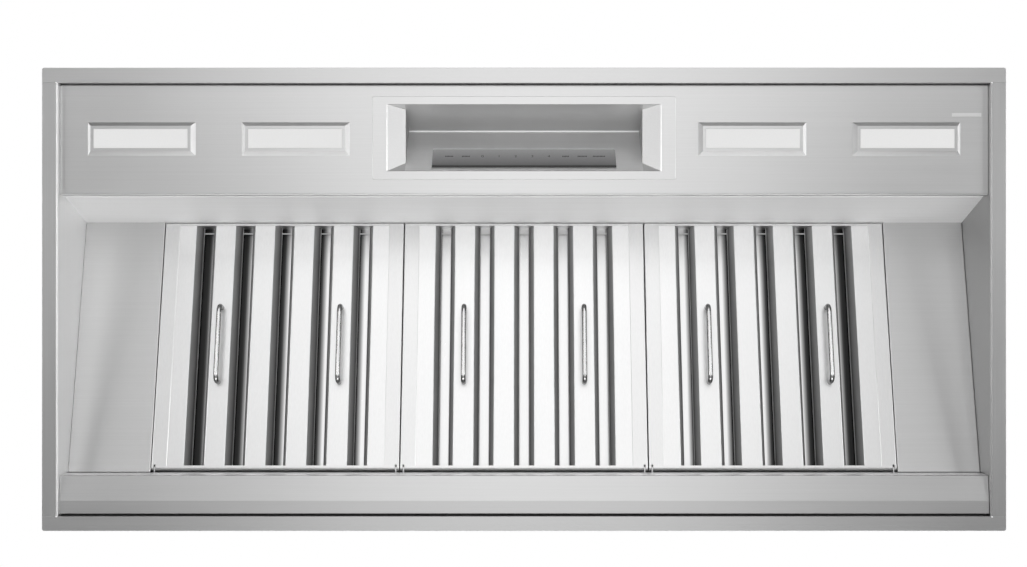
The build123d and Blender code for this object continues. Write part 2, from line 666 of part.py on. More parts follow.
def handle(x):
    """A bent bar handle on an outer baffle."""
    middle = (FILTER_FRONT_GAP + filter_end) / 2
    reach = HANDLE_LENGTH / 2 - HANDLE_RADIUS
    low = HANDLE_RADIUS - HANDLE_STANDOFF
    path = Wire(FilletPolyline((x, middle - reach, outer_low), (x, middle - reach, low),
                               (x, middle + reach, low), (x, middle + reach, outer_low),
                               radius=HANDLE_BEND).edges())
    start = Plane(origin=(x, middle - reach, outer_low), z_dir=(0, 0, -1))
    return sweep(start * Circle(HANDLE_RADIUS), path=path)


def spring_clip(x):
    """A leaf clip on the front rim: its nose hooks over the catch of the baffle plate."""
    section = folded([
        (FILTER_FRONT_GAP + CLIP_SEAT, FILTER_THICKNESS), (-CLIP_ARM, FILTER_THICKNESS),
        (-CLIP_NOSE, FILTER_THICKNESS - CLIP_NOSE_DROP), (CLIP_TIP, CATCH_HEIGHT + CLIP_TIP_RISE)],
        CLIP_SHEET, CLIP_BEND, Side.RIGHT)
    return along_x(section, x - CLIP_WIDTH / 2, x + CLIP_WIDTH / 2)


bar_x = [(a + b) / 2 for a, b in zip(slot_x, slot_x[1:])]
side_rims = [side_rim(), left_of(side_rim())]
end_rims = [front_rim(), rear_rim - lug_slots]
outer_bars = [left_of(end_bar())] + [outer_bar(x) for x in bar_x] + [end_bar()]
inner_bars = [inner_bar(x) for x in slot_x]
handles = [handle(bar_x[0]), handle(bar_x[-1])]
clips = [spring_clip(side * CLIP_SPREAD_SHARE * filter_half) for side in (-1, 1)]
for number, x in enumerate(filter_x, 1):
    place = ceiling * Pos(x, 0, 0)
    keep(f"filter_{number}_rim", *[place * s for s in side_rims + end_rims])
    keep(f"filter_{number}_outer_baffles", *[place * s for s in outer_bars])
    keep(f"filter_{number}_inner_baffles", *[place * s for s in inner_bars])
    keep(f"filter_{number}_handles", *[place * s for s in handles])
    keep(f"filter_{number}_clips", *[place * s for s in clips])


# ---- rear rail with the hinge lugs ----
def lug(x0, x1):
    """A plate with an eye round a filter's hinge pin, and an arm back to the rail."""
    eye = rod_x(LUG_RADIUS, x0, x1, *pivot)
    arm = block(x0, x1, pivot[0], rail_y + SHEET / 2, pivot[1] - LUG_RADIUS, pivot[1] + LUG_RADIUS)
    return eye + arm - rod_x(PIN_RADIUS + PIN_CLEARANCE, x0, x1, *pivot)


rail_section = folded([
    (rail_y, rail_bottom), (rail_y, rail_bottom + RAIL_HEIGHT),
    (rail_y + RAIL_TOP_WIDTH, rail_bottom + RAIL_HEIGHT)], SHEET, RAIL_BEND, Side.RIGHT)
rail = along_x(rail_section, -wall_inner, wall_inner)
for x in filter_x:
    rail += lug(x + lug_inner, x + lug_outer)
    rail += lug(x - lug_outer, x - lug_inner)
keep("filter_rail", rail)


# ---- grease tray and its brackets ----
tray_half = wall_inner - TRAY_SIDE_GAP
tray_path = [
    (tray_front, TRAY_RECESS + TRAY_FRONT_HEIGHT), (tray_front, TRAY_RECESS + TRAY_RISE),
    (tray_rear - TRAY_FLAT, TRAY_RECESS), (tray_rear, TRAY_RECESS),
    (tray_rear, TRAY_RECESS + TRAY_REAR_HEIGHT)]
tray = along_x(folded(tray_path, TRAY_SHEET, TRAY_BEND), -tray_half, tray_half)
tray_end_top = TRAY_RECESS + TRAY_END_HEIGHT
end_inset = TRAY_SHEET / 2
end_front = tray_front + end_inset
end_rear = tray_rear - end_inset
end_low = TRAY_RECESS + end_inset
tray_end = polygon([
    (end_front, end_low + TRAY_RISE), (tray_rear - TRAY_FLAT, end_low), (end_rear, end_low),
    (end_rear, tray_end_top), (end_front, tray_end_top)])
tray += along_x(tray_end, -tray_half, -tray_half + TRAY_SHEET)
tray += along_x(tray_end, tray_half - TRAY_SHEET, tray_half)
for side in (-1, 1):
    tray += block(side * tray_half, side * (tray_half - TRAY_END_FLANGE), end_front, end_rear,
                  tray_end_top - TRAY_SHEET, tray_end_top)
keep("grease_tray", tray)

bracket_z = tray_end_top + BRACKET_GAP
bracket_y = rail_y + (tray_rear - rail_y - BRACKET_LENGTH) / 2
bracket_section = polygon([
    (wall_inner, bracket_z), (wall_inner, bracket_z + BRACKET_LEG),
    (wall_inner - SHEET, bracket_z + BRACKET_LEG), (wall_inner - SHEET, bracket_z + SHEET),
    (wall_inner - BRACKET_LEG, bracket_z + SHEET), (wall_inner - BRACKET_LEG, bracket_z)])
bracket = along_y(bracket_section, bracket_y, bracket_y + BRACKET_LENGTH)
keep("tray_brackets", left_of(bracket), bracket)


# ---- blower: scroll housings, wheels, shaft, motor and its spiders ----
def quarter(center, radius, x0, x1, y0, y1):
    """The part of a circle that lies in a window."""
    window = Pos((x0 + x1) / 2, (y0 + y1) / 2) * Rectangle(x1 - x0, y1 - y0)
    return Pos(*center) * Circle(radius) & window


def scroll(grow, mouth):
    """The scroll's section: three growing quarter circles and a straight mouth towards the front."""
    step = scroll_step
    reach = outlet_depth + 2 * step
    r1 = scroll_start + grow
    section = quarter((0, 0), r1, 0, reach, 0, reach)
    section += quarter((-step, 0), r1 + step, -step, reach, -reach, 0)
    section += quarter((-step, step), r1 + 2 * step, -reach, -step, -reach, step)
    section += Pos(-outlet_depth / 2, mouth / 2) * Rectangle(outlet_depth + 2 * grow, mouth)
    return Pos(blower_y, blower_z) * section


def housing(x):
    """A scroll casing with an inlet on both sides, open at its mouth."""
    half = HOUSING_WIDTH / 2
    inner = half - HOUSING_SHEET
    case = along_x(scroll(HOUSING_SHEET, mouth_height), x - half, x + half)
    case -= along_x(scroll(0, mouth_height + HOUSING_SHEET), x - inner, x + inner)
    return case - rod_x(inlet_radius, x - half, x + half, blower_y, blower_z)


def polar(radius, degrees):
    return radius * math.cos(math.radians(degrees)), radius * math.sin(math.radians(degrees))


def blade():
    """One forward-curved blade of the wheel, as a section."""
    middle = (blade_inner + wheel_radius) / 2
    edges = []
    for turn in (0, BLADE_ANGLE):
        bend = polar(middle, turn + BLADE_LEAD / 2 - BLADE_BOW)
        tip = polar(wheel_radius, turn + BLADE_LEAD)
        edges.append(ThreePointArc(polar(blade_inner, turn), bend, tip))
    first, second = edges
    ends = [Line(first @ 1, second @ 1), Line(second @ 0, first @ 0)]
    return make_face(Curve() + [first, ends[0], second, ends[1]])


def wheel(x):
    """A squirrel-cage wheel: blades between two end rings, on a disc with a hub."""
    half = WHEEL_WIDTH / 2
    body = Cylinder(wheel_radius - DISC_MARGIN, DISC_THICKNESS) + Cylinder(HUB_RADIUS, HUB_LENGTH)
    ring = Cylinder(wheel_radius, RING_WIDTH) - Cylinder(RING_INNER_SHARE * wheel_radius, RING_WIDTH)
    for z in (-half + RING_WIDTH / 2, half - RING_WIDTH / 2):
        body += Pos(0, 0, z) * ring
    one = Pos(0, 0, -half) * extrude(blade(), amount=WHEEL_WIDTH, dir=(0, 0, 1))
    body += [Rot(0, 0, i * 360 / BLADE_COUNT) * one for i in range(BLADE_COUNT)]
    body -= Cylinder(SHAFT_RADIUS + SHAFT_CLEARANCE, HUB_LENGTH * 2)
    return Plane(origin=(x, blower_y, blower_z), x_dir=(0, 1, 0), z_dir=(1, 0, 0)) * body


def spider(x0, inward):
    """A ring round the motor's end, with arms to the housing's side."""
    x1 = x0 + inward * SPIDER_DEPTH
    body = rod_x(motor_radius + SPIDER_RING, min(x0, x1), max(x0, x1), blower_y, blower_z)
    arm = block(0, inward * SPIDER_SHEET, -SPIDER_ARM_WIDTH / 2, SPIDER_ARM_WIDTH / 2,
                motor_radius, motor_radius + SPIDER_REACH)
    for i in range(SPIDER_ARMS):
        body += Pos(x0, blower_y, blower_z) * Rot(i * 360 / SPIDER_ARMS, 0, 0) * arm
    bore = motor_radius + SPIDER_FIT
    return body - rod_x(bore, min(x0, x1) - SHEET, max(x0, x1) + SHEET, blower_y, blower_z)


housing_inner = HOUSING_X - HOUSING_WIDTH / 2
keep("blower_housing_left", housing(-HOUSING_X))
keep("blower_housing_right", housing(HOUSING_X))
keep("blower_wheel_left", wheel(-HOUSING_X))
keep("blower_wheel_right", wheel(HOUSING_X))
shaft_half = HOUSING_X + SHAFT_OVERHANG
keep("blower_shaft", rod_x(SHAFT_RADIUS, -shaft_half, shaft_half, blower_y, blower_z))
motor = rod_x(motor_radius, -MOTOR_LENGTH / 2, MOTOR_LENGTH / 2, blower_y, blower_z)
motor = chamfer(motor.edges().filter_by(GeomType.CIRCLE), MOTOR_EDGE)
motor -= rod_x(SHAFT_RADIUS + SHAFT_CLEARANCE, -MOTOR_LENGTH, MOTOR_LENGTH, blower_y, blower_z)
keep("blower_motor", motor)
keep("motor_spiders", spider(-housing_inner, 1), spider(housing_inner, -1))


# ---- outlet adapter ----
def adapter_form(shrink):
    """From the two scroll mouths together to the round outlet."""
    length = 2 * HOUSING_X + HOUSING_WIDTH - 2 * shrink
    depth = outlet_depth + 2 * HOUSING_SHEET - 2 * shrink
    lower = Pos(0, duct_y, mouth_z) * Rectangle(length, depth)
    upper = Pos(0, duct_y, wall_top) * Circle(duct_radius - shrink)
    return loft([lower.face(), upper.face()])


adapter = adapter_form(0) - adapter_form(ADAPTER_SHEET)
foot = Cylinder(duct_radius + ADAPTER_FOOT, ADAPTER_SHEET)
foot -= Cylinder(duct_radius - ADAPTER_SHEET / 2, ADAPTER_SHEET)
adapter += Pos(0, duct_y, wall_top - ADAPTER_SHEET / 2) * foot
mouth_front = blower_y - outlet_depth - HOUSING_SHEET
mouth_rear = blower_y + HOUSING_SHEET
adapter += block(-housing_inner, housing_inner, mouth_front, mouth_rear, mouth_z, mouth_z + ADAPTER_SHEET)
keep("outlet_adapter", adapter)


# ---- duct collar and damper ----
collar = Pos(0, duct_y, BODY_HEIGHT + COLLAR_HEIGHT / 2) * Cylinder(COLLAR_RADIUS, COLLAR_HEIGHT)
collar_foot = Cylinder(COLLAR_RADIUS + COLLAR_FOOT, COLLAR_SHEET)
collar += Pos(0, duct_y, BODY_HEIGHT + COLLAR_SHEET / 2) * collar_foot
collar -= Pos(0, duct_y, BODY_HEIGHT + COLLAR_HEIGHT / 2) * Cylinder(duct_radius, COLLAR_HEIGHT)
stop_top = rod_z - FLAP_SHEET / 2 - STOP_GAP
stop = block(duct_radius - STOP_LENGTH, duct_radius + COLLAR_SHEET / 2, -STOP_WIDTH / 2, STOP_WIDTH / 2,
             stop_top - STOP_HEIGHT, stop_top)
for angle in (STOP_ANGLE, 180 - STOP_ANGLE, 180 + STOP_ANGLE, -STOP_ANGLE):
    collar += Pos(0, duct_y, 0) * Rot(0, 0, angle) * stop
collar -= rod_x(ROD_RADIUS + ROD_CLEARANCE, -COLLAR_RADIUS, COLLAR_RADIUS, duct_y, rod_z)
keep("duct_collar", collar)
rod_half = COLLAR_RADIUS - COLLAR_SHEET / 4
keep("damper_rod", rod_x(ROD_RADIUS, -rod_half, rod_half, duct_y, rod_z))


def flap(own):
    """A half-round flap towards +Y, with every second knuckle round the rod."""
    bore = ROD_RADIUS + ROD_CLEARANCE
    knuckle = bore + KNUCKLE_WALL
    near = knuckle + FLAP_ROD_GAP
    radius = duct_radius - FLAP_RIM_GAP
    plate = Cylinder(radius, FLAP_SHEET) - block(-radius, radius, -radius, near, -FLAP_SHEET, FLAP_SHEET)
    pitch = KNUCKLE_SPAN / KNUCKLE_COUNT
    for i in range(KNUCKLE_COUNT):
        if i % 2 == own:
            x0 = -KNUCKLE_SPAN / 2 + i * pitch + KNUCKLE_GAP / 2
            x1 = x0 + pitch - KNUCKLE_GAP
            plate += block(x0, x1, bore + KNUCKLE_WALL / 2, near, -FLAP_SHEET / 2, FLAP_SHEET / 2)
            plate += rod_x(knuckle, x0, x1, 0, 0) - rod_x(bore, x0, x1, 0, 0)
    return plate


keep("damper_flap_rear", Pos(0, duct_y, rod_z) * flap(0))
keep("damper_flap_front", Pos(0, duct_y, rod_z) * mirror(flap(1), about=Plane.XZ))


# ---- junction box ----
box_floor = wall_top - BOX_HEIGHT
junction = block(box_x - BOX_LENGTH / 2, box_x + BOX_LENGTH / 2,
                 box_y - BOX_DEPTH / 2, box_y + BOX_DEPTH / 2, box_floor, wall_top)
inside_x = BOX_LENGTH / 2 - BOX_SHEET
inside_y = BOX_DEPTH / 2 - BOX_SHEET
junction -= block(box_x - inside_x, box_x + inside_x, box_y - inside_y, box_y + inside_y, box_floor, wall_top)
for side in (-1, 1):
    edge = box_x + side * BOX_LENGTH / 2
    junction += block(edge, edge + side * BOX_EAR, box_y - BOX_DEPTH / 4, box_y + BOX_DEPTH / 4,
                      wall_top - BOX_SHEET, wall_top)
keep("junction_box", junction)
cover = block(box_x - BOX_LENGTH / 2, box_x + BOX_LENGTH / 2,
              box_y - BOX_DEPTH / 2, box_y + BOX_DEPTH / 2, box_floor - BOX_SHEET, box_floor)
for side in (-1, 1):
    edge = box_y + side * BOX_DEPTH / 2
    cover += block(box_x - BOX_LENGTH / 4, box_x + BOX_LENGTH / 4, edge, edge + side * BOX_SHEET,
                   box_floor - BOX_SHEET, box_floor + COVER_LIP)
keep("junction_box_cover", cover)


# ---- write one file per sub-part ----
os.makedirs("parts", exist_ok=True)
for name, solids in nodes.items():
    shape = solids[0] if len(solids) == 1 else Compound(children=solids)
    export_step(shape, f"parts/{name}.step")
print(len(nodes), "sub-parts,", sum(len(solids) for solids in nodes.values()), "solids")
clip_seat = ceiling_point(FILTER_FRONT_GAP + CLIP_SEAT, FILTER_THICKNESS)
print("filter hinge at Y, Z:", [round(v, 3) for v in pivot], "clip seat at Z:", round(clip_seat[1], 2))
print("blower shaft at Y, Z:", [round(v, 3) for v in (blower_y, blower_z)])
print("damper rod at Y, Z:", [round(v, 3) for v in (duct_y, rod_z)])
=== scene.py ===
# %% [markdown]
# # A range hood insert, dressed for the camera
# The solids of the hood come from the CAD frame, in metres. The origin is the middle of the
# underside of the trim flange, +X is right, +Y is the rear wall and +Z is up to the duct.
# This lesson gives every sheet its steel, adds the small things that sheet-metal drawings
# leave out, and sets up the light and the camera under the hood.

# %% Load the frame
import bpy
import bmesh
import json
import math
from mathutils import Matrix, Vector


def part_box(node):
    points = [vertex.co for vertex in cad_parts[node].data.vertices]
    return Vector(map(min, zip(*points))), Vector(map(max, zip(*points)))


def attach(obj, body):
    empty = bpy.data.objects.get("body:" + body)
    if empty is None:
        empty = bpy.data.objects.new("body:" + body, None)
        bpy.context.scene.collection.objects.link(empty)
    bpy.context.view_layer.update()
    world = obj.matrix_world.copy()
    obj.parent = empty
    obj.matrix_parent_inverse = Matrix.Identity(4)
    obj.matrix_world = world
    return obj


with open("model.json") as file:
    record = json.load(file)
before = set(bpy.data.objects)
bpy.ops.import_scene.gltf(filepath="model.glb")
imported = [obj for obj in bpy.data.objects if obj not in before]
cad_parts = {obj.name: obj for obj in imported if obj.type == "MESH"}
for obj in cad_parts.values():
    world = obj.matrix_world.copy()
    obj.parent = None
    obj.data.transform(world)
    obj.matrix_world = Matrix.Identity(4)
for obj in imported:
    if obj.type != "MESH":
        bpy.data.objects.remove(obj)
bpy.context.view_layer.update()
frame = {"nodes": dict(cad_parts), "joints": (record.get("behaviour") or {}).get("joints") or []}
MM = 0.001
WHITE = (1, 1, 1, 1)
FILTERS = (1, 2, 3)
LIGHTS = (1, 2, 3, 4)

# %% [markdown]
# ## Shader node helpers
# A node group is the shader editor's function: it is built once and placed in each material
# with its own values. Its sockets are made on the group's interface. The groups here put out
# only shades, masks, measures and normals, so the metal itself stays in the material. A few
# small helpers place nodes and join them, so that a tree reads like a formula.

# %% Helpers for node trees
def add(tree, kind, **values):
    """A node with its properties set by name."""
    node = tree.nodes.new(kind)
    for name, value in values.items():
        setattr(node, name, value)
    return node


def give(tree, socket, value):
    """Joins a socket to another one, or sets it to a plain value."""
    if isinstance(value, bpy.types.NodeSocket):
        tree.links.new(value, socket)
    else:
        socket.default_value = value


def math_node(tree, operation, *operands):
    """A Math node: each operand is a socket or a number."""
    node = add(tree, "ShaderNodeMath", operation=operation)
    for socket, value in zip(node.inputs, operands):
        give(tree, socket, value)
    return node.outputs[0]


def vector_node(tree, operation, first, second):
    """A Vector Math node on two sockets. A dot product gives a number."""
    node = add(tree, "ShaderNodeVectorMath", operation=operation)
    tree.links.new(first, node.inputs[0])
    tree.links.new(second, node.inputs[1])
    return node.outputs["Value" if operation == "DOT_PRODUCT" else "Vector"]


def object_place(tree):
    """Where a point lies on the hood, in metres."""
    return add(tree, "ShaderNodeTexCoord").outputs["Object"]


def noise(tree, vector, scale, detail):
    """The value of a noise texture on a vector."""
    node = add(tree, "ShaderNodeTexNoise")
    node.inputs["Scale"].default_value = scale
    node.inputs["Detail"].default_value = detail
    tree.links.new(vector, node.inputs["Vector"])
    return node.outputs["Fac"]


BUMP_DISTANCE = 0.2 * MM


def bump(tree, height, strength):
    """The normal of a surface that a height raises and lowers a little."""
    node = add(tree, "ShaderNodeBump")
    node.inputs["Distance"].default_value = BUMP_DISTANCE
    give(tree, node.inputs["Strength"], strength)
    tree.links.new(height, node.inputs["Height"])
    return node.outputs[0]


print("bumps reach", round(BUMP_DISTANCE / MM, 2), "mm")

# %% [markdown]
# ## Group helpers
# In the editor, a group's sockets are drawn on its input and output nodes. In a script they
# are declared on the group's interface with a name, a kind and a default value, and a placed
# group then takes its values by those names.

# %% Helpers for node groups
def new_group(title, inputs, outputs):
    """An empty group with its input and output nodes."""
    tree = bpy.data.node_groups.new(title, "ShaderNodeTree")
    for name, kind, value in inputs:
        socket = tree.interface.new_socket(name, in_out="INPUT", socket_type=kind)
        socket.default_value = value
    for name, kind in outputs:
        tree.interface.new_socket(name, in_out="OUTPUT", socket_type=kind)
    return tree, tree.nodes.new("NodeGroupInput"), tree.nodes.new("NodeGroupOutput")


def put_group(tree, group, **values):
    """A group placed in a tree, with its inputs set by name."""
    node = add(tree, "ShaderNodeGroup", node_tree=group)
    for name, value in values.items():
        node.inputs[name].default_value = value
    return node


print("node groups so far", len(bpy.data.node_groups))

# %% [markdown]
# ## Brushed grain
# Kitchen stainless is ground with a belt, so it has fine scratches that all run one way.
# They could be a photographed texture or an anisotropic shader. Here a noise on the object's
# coordinates is squeezed across the grain and stretched along it, because it has no seams,
# follows each sheet's own direction and can be baked. Very large soft blotches stand for the
# uneven pressure of the belt.

# %% The brushed grain group
SCRATCH_SCALE, SCRATCH_DETAIL, SCRATCH_CHANGE = 1.0, 4.0, 0.10
BLOTCH_SCALE, BLOTCH_DETAIL, BLOTCH_CHANGE = 5.0, 2.0, 0.05
ALONG_X = (5.0, 700.0, 700.0)
ALONG_Y = (700.0, 5.0, 700.0)


def change_by(tree, value, most):
    """Turns a noise between 0 and 1 into a small change up or down."""
    return math_node(tree, "MULTIPLY", math_node(tree, "SUBTRACT", value, 0.5), most)


def brushed_grain_group():
    """A shade and a roughness that scratches and blotches vary, and the grain's normal."""
    tree, inside, out = new_group(
        "brushed grain",
        [("Stretch", "NodeSocketVector", (1, 1, 1)), ("Shade", "NodeSocketFloat", 0.6),
         ("Roughness", "NodeSocketFloat", 0.3), ("Depth", "NodeSocketFloat", 0.05)],
        [("Color", "NodeSocketColor"), ("Roughness", "NodeSocketFloat"),
         ("Normal", "NodeSocketVector")])
    place = object_place(tree)
    squeezed = vector_node(tree, "MULTIPLY", place, inside.outputs["Stretch"])
    scratches = noise(tree, squeezed, SCRATCH_SCALE, SCRATCH_DETAIL)
    blotches = noise(tree, place, BLOTCH_SCALE, BLOTCH_DETAIL)

    fine = change_by(tree, scratches, SCRATCH_CHANGE)
    broad = change_by(tree, blotches, BLOTCH_CHANGE)
    change = math_node(tree, "ADD", math_node(tree, "ADD", fine, broad), 1.0)
    shade = math_node(tree, "MULTIPLY", inside.outputs["Shade"], change)
    grey = add(tree, "ShaderNodeCombineColor")
    for channel in grey.inputs:
        tree.links.new(shade, channel)
    tree.links.new(grey.outputs[0], out.inputs["Color"])

    rough = math_node(tree, "ADD", inside.outputs["Roughness"], fine)
    tree.links.new(math_node(tree, "ADD", rough, broad), out.inputs["Roughness"])
    tree.links.new(bump(tree, scratches, inside.outputs["Depth"]), out.inputs["Normal"])
    return tree


GRAIN = brushed_grain_group()
print("group", GRAIN.name, "with", len(GRAIN.nodes), "nodes")

# %% [markdown]
# ## The steels
# A metal in the Principled shader is Metallic 1, and its Base Color is how much light it
# returns. The shell, the filters and the handles of the real hood are finished differently:
# satin on the flat sheets, much brighter on the baffles, and polished on the bars. Sheets of
# one steel also get different shades as painted light and shade, for the light that falls on
# each: the left wall is painted light, the right wall painted dark, the baffle plate near
# white and the outer end walls darker. One function makes them all from a shade, a
# roughness, the way the grain runs and its depth.

# %% Steel materials
SHEET_DEPTH = 0.05
DEEP = 0.10
POLISHED = 0.01


def shader_of(material):
    """The Principled shader of a material."""
    return material.node_tree.nodes["Principled BSDF"]


def new_material(name):
    """A material with an empty tree but for the Principled shader and the output."""
    material = bpy.data.materials.new(name)
    material.use_nodes = True
    return material, material.node_tree, shader_of(material)


def brushed_steel(name, shade, roughness, stretch, depth=SHEET_DEPTH):
    """Stainless sheet with its grain."""
    material, tree, shader = new_material(name)
    grain = put_group(tree, GRAIN, Stretch=stretch, Shade=shade, Roughness=roughness, Depth=depth)
    shader.inputs["Metallic"].default_value = 1.0
    tree.links.new(grain.outputs["Color"], shader.inputs["Base Color"])
    tree.links.new(grain.outputs["Roughness"], shader.inputs["Roughness"])
    tree.links.new(grain.outputs["Normal"], shader.inputs["Normal"])
    return material


flange_steel = brushed_steel("flange_steel", 0.62, 0.34, ALONG_X)
side_flange_steel = brushed_steel("side_flange_steel", 0.60, 0.34, ALONG_Y)
# The two side walls are one steel: painted light on the left wall and painted shade on the right,
# for light from the right.
left_wall_painted_light_steel = brushed_steel("left_wall_painted_light_steel", 0.95, 0.58, ALONG_Y)
right_wall_painted_shade_steel = brushed_steel("right_wall_painted_shade_steel", 0.44, 0.40, ALONG_Y)
end_wall_steel = brushed_steel("end_wall_steel", 0.42, 0.52, ALONG_X)
panel_steel = brushed_steel("panel_steel", 0.655, 0.35, ALONG_X)
baffle_plate_steel = brushed_steel("baffle_plate_steel", 0.95, 0.75, ALONG_X)
filler_steel = brushed_steel("filler_steel", 0.64, 0.40, ALONG_X, DEEP)
tray_steel = brushed_steel("tray_steel", 1.0, 0.36, ALONG_X)
rim_steel = brushed_steel("rim_steel", 0.80, 0.38, ALONG_Y, POLISHED)
bar_chrome = brushed_steel("bar_chrome", 0.88, 0.24, ALONG_Y, POLISHED)
badge_steel = brushed_steel("badge_steel", 0.88, 0.34, ALONG_X)
screw_steel = brushed_steel("screw_steel", 0.62, 0.28, ALONG_X)
print("steels", len(bpy.data.materials))

# %% [markdown]
# ## Darker edges on the bars
# The handles are polished bars. Towards their edges the real ones are dark, as they mirror
# the slots at their sides, and plain steel came out too light there, so the dark edges are a
# painted reflection. Layer Weight tells how far a surface is turned from the viewer, a colour
# ramp makes a grey of it, and a Mix node multiplies the steel's colour by that grey. The ramp
# and the multiplying are helpers, because the baffles, the pocket and the touch strip need
# them too.

# %% Ramps, tints and the bars' edges
EDGE_PAINTED_REFLECTION = [(0.05, 1.0), (0.24, 0.20)]


def grey_ramp(tree, value, stops):
    """A colour ramp on a value: each stop is a place between 0 and 1 and a grey."""
    ramp = add(tree, "ShaderNodeValToRGB")
    elements = ramp.color_ramp.elements
    while len(elements) < len(stops):
        elements.new(0.5)
    for element, (place, grey) in zip(elements, stops):
        element.position = place
        element.color = (grey, grey, grey, 1)
    tree.links.new(value, ramp.inputs[0])
    return ramp.outputs[0]


def tint_with(material, factor):
    """Multiplies the base colour by a grey."""
    tree = material.node_tree
    colour = shader_of(material).inputs["Base Color"]
    mix = add(tree, "ShaderNodeMix", data_type="RGBA", blend_type="MULTIPLY")
    mix.inputs[0].default_value = 1.0
    tree.links.new(colour.links[0].from_socket, mix.inputs[6])
    tree.links.new(factor, mix.inputs[7])
    tree.links.new(mix.outputs[2], colour)


# Painted reflection: the bars darken towards their edges.
bar_facing = add(bar_chrome.node_tree, "ShaderNodeLayerWeight").outputs["Facing"]
tint_with(bar_chrome, grey_ramp(bar_chrome.node_tree, bar_facing, EDGE_PAINTED_REFLECTION))
print("bars darken to", EDGE_PAINTED_REFLECTION[-1][1], "of their shade at the edges")

# %% [markdown]
# ## Heights over a plane
# Only the face of a baffle filter is polished. The legs inside its slots are dull, and they
# are darker still with painted shade. Painting that shade by hand would need a mask, but the
# filters all lie on one sloping plane, so the height over that plane tells a face from a leg.
# One group measures a height along a direction, in millimetres, and a colour ramp in each
# material turns it into a shade.

# %% The height group and steels that follow a height
RAMPED_DEPTH = 0.02


def height_group():
    """The height of a point along the direction Up, in millimetres past an offset."""
    tree, inside, out = new_group(
        "height over a plane",
        [("Up", "NodeSocketVector", (0, 0, 1)), ("Offset", "NodeSocketFloat", 0.0)],
        [("Height", "NodeSocketFloat")])
    along = vector_node(tree, "DOT_PRODUCT", object_place(tree), inside.outputs["Up"])
    above = math_node(tree, "ADD", along, inside.outputs["Offset"])
    tree.links.new(math_node(tree, "DIVIDE", above, MM), out.inputs["Height"])
    return tree


HEIGHT = height_group()


def height_over(tree, plane):
    """The height of a point over a plane, which is its direction up and an offset."""
    up, offset = plane
    return put_group(tree, HEIGHT, Up=up, Offset=offset).outputs["Height"]


def ramp_over(tree, value, span, stops):
    """A grey ramp over 0 to span: each stop is a place on it and a grey."""
    share = math_node(tree, "DIVIDE", value, span)
    return grey_ramp(tree, share, [(place / span, grey) for place, grey in stops])


def ramped_steel(name, roughness, stretch, plane, span, shades, rough=None):
    """Steel whose shade, and its roughness if asked, follow the height over a plane."""
    material = brushed_steel(name, 1.0, roughness, stretch, RAMPED_DEPTH)
    tree = material.node_tree
    height = height_over(tree, plane)
    tint_with(material, ramp_over(tree, height, span, shades))
    if rough:
        socket = shader_of(material).inputs["Roughness"]
        grain = math_node(tree, "SUBTRACT", socket.links[0].from_socket, roughness)
        level = ramp_over(tree, height, span, rough)
        tree.links.new(math_node(tree, "ADD", grain, level), socket)
    return material


print("group", HEIGHT.name, "with", len(HEIGHT.nodes), "nodes")

# %% [markdown]
# ## The outer baffles
# On the real filter the faces mirror the light below, while the legs see only each other and
# fall off into the dark. The filters here are not as deep as real ones seem to be, so the
# ramp makes the legs darker than their own shade would, as painted shade short of their top
# edges. A second ramp, along the slope, dims the baffles a little behind their front ends, so
# the front ends carry painted light. The plane of the faces comes from a hinge pin, which lies
# a known height over it.

# %% The plane of the filters, and the outer baffles
FILTER_SLOPE = math.radians(13.525)
PIN_HEIGHT = 3.4 * MM
FILTER_FRONT = Vector((0, -99.8, 114.0)) * MM
FACE_ROUGHNESS = 0.36
LEG_SPAN = 25.0
# Painted shade on the legs, short of their top edges.
LEG_PAINTED_SHADE = [(0.0, 1.0), (0.9, 1.0), (2.2, 0.62), (13.0, 0.48), (18.2, 0.22), (19.0, 1.0)]
LEG_ROUGHNESS = [(0.0, FACE_ROUGHNESS), (0.9, FACE_ROUGHNESS), (2.2, 0.75)]
SLOPE_SPAN = 100.0
# Painted light: the front ends of the baffles are kept brighter than the rest.
SLOPE_PAINTED_LIGHT = [(0.0, 1.0), (8.0, 1.0), (45.0, 0.84)]

hinge = next(joint for joint in frame["joints"] if joint["name"] == "filter_2_hinge")
face_up = Vector((0, math.sin(FILTER_SLOPE), math.cos(FILTER_SLOPE)))
slope_down = Vector((0, math.cos(FILTER_SLOPE), -math.sin(FILTER_SLOPE)))
face_plane = (face_up, PIN_HEIGHT - face_up.dot(Vector(hinge["pos_m"])))
slope_start = (slope_down, -slope_down.dot(FILTER_FRONT))
print("face plane offset", round(face_plane[1] / MM, 2), "mm")

outer_baffle_steel = ramped_steel("outer_baffle_steel", FACE_ROUGHNESS, ALONG_Y, face_plane,
                                  LEG_SPAN, LEG_PAINTED_SHADE, LEG_ROUGHNESS)
outer_tree = outer_baffle_steel.node_tree
down_slope = height_over(outer_tree, slope_start)
tint_with(outer_baffle_steel, ramp_over(outer_tree, down_slope, SLOPE_SPAN, SLOPE_PAINTED_LIGHT))

# %% [markdown]
# ## Walls that mirror different things
# Two walls of one sheet can look quite different, because each mirrors something else. The
# pocket of the control plate is one such place, and the front wall of the grease tray is
# another. The mirror images here were not strong enough, so the difference is painted.
# Splitting the mesh would be the editor's way, but a CAD mesh is left as it is. A group that
# is 1 inside a box and 0 outside picks a wall out by its place instead.

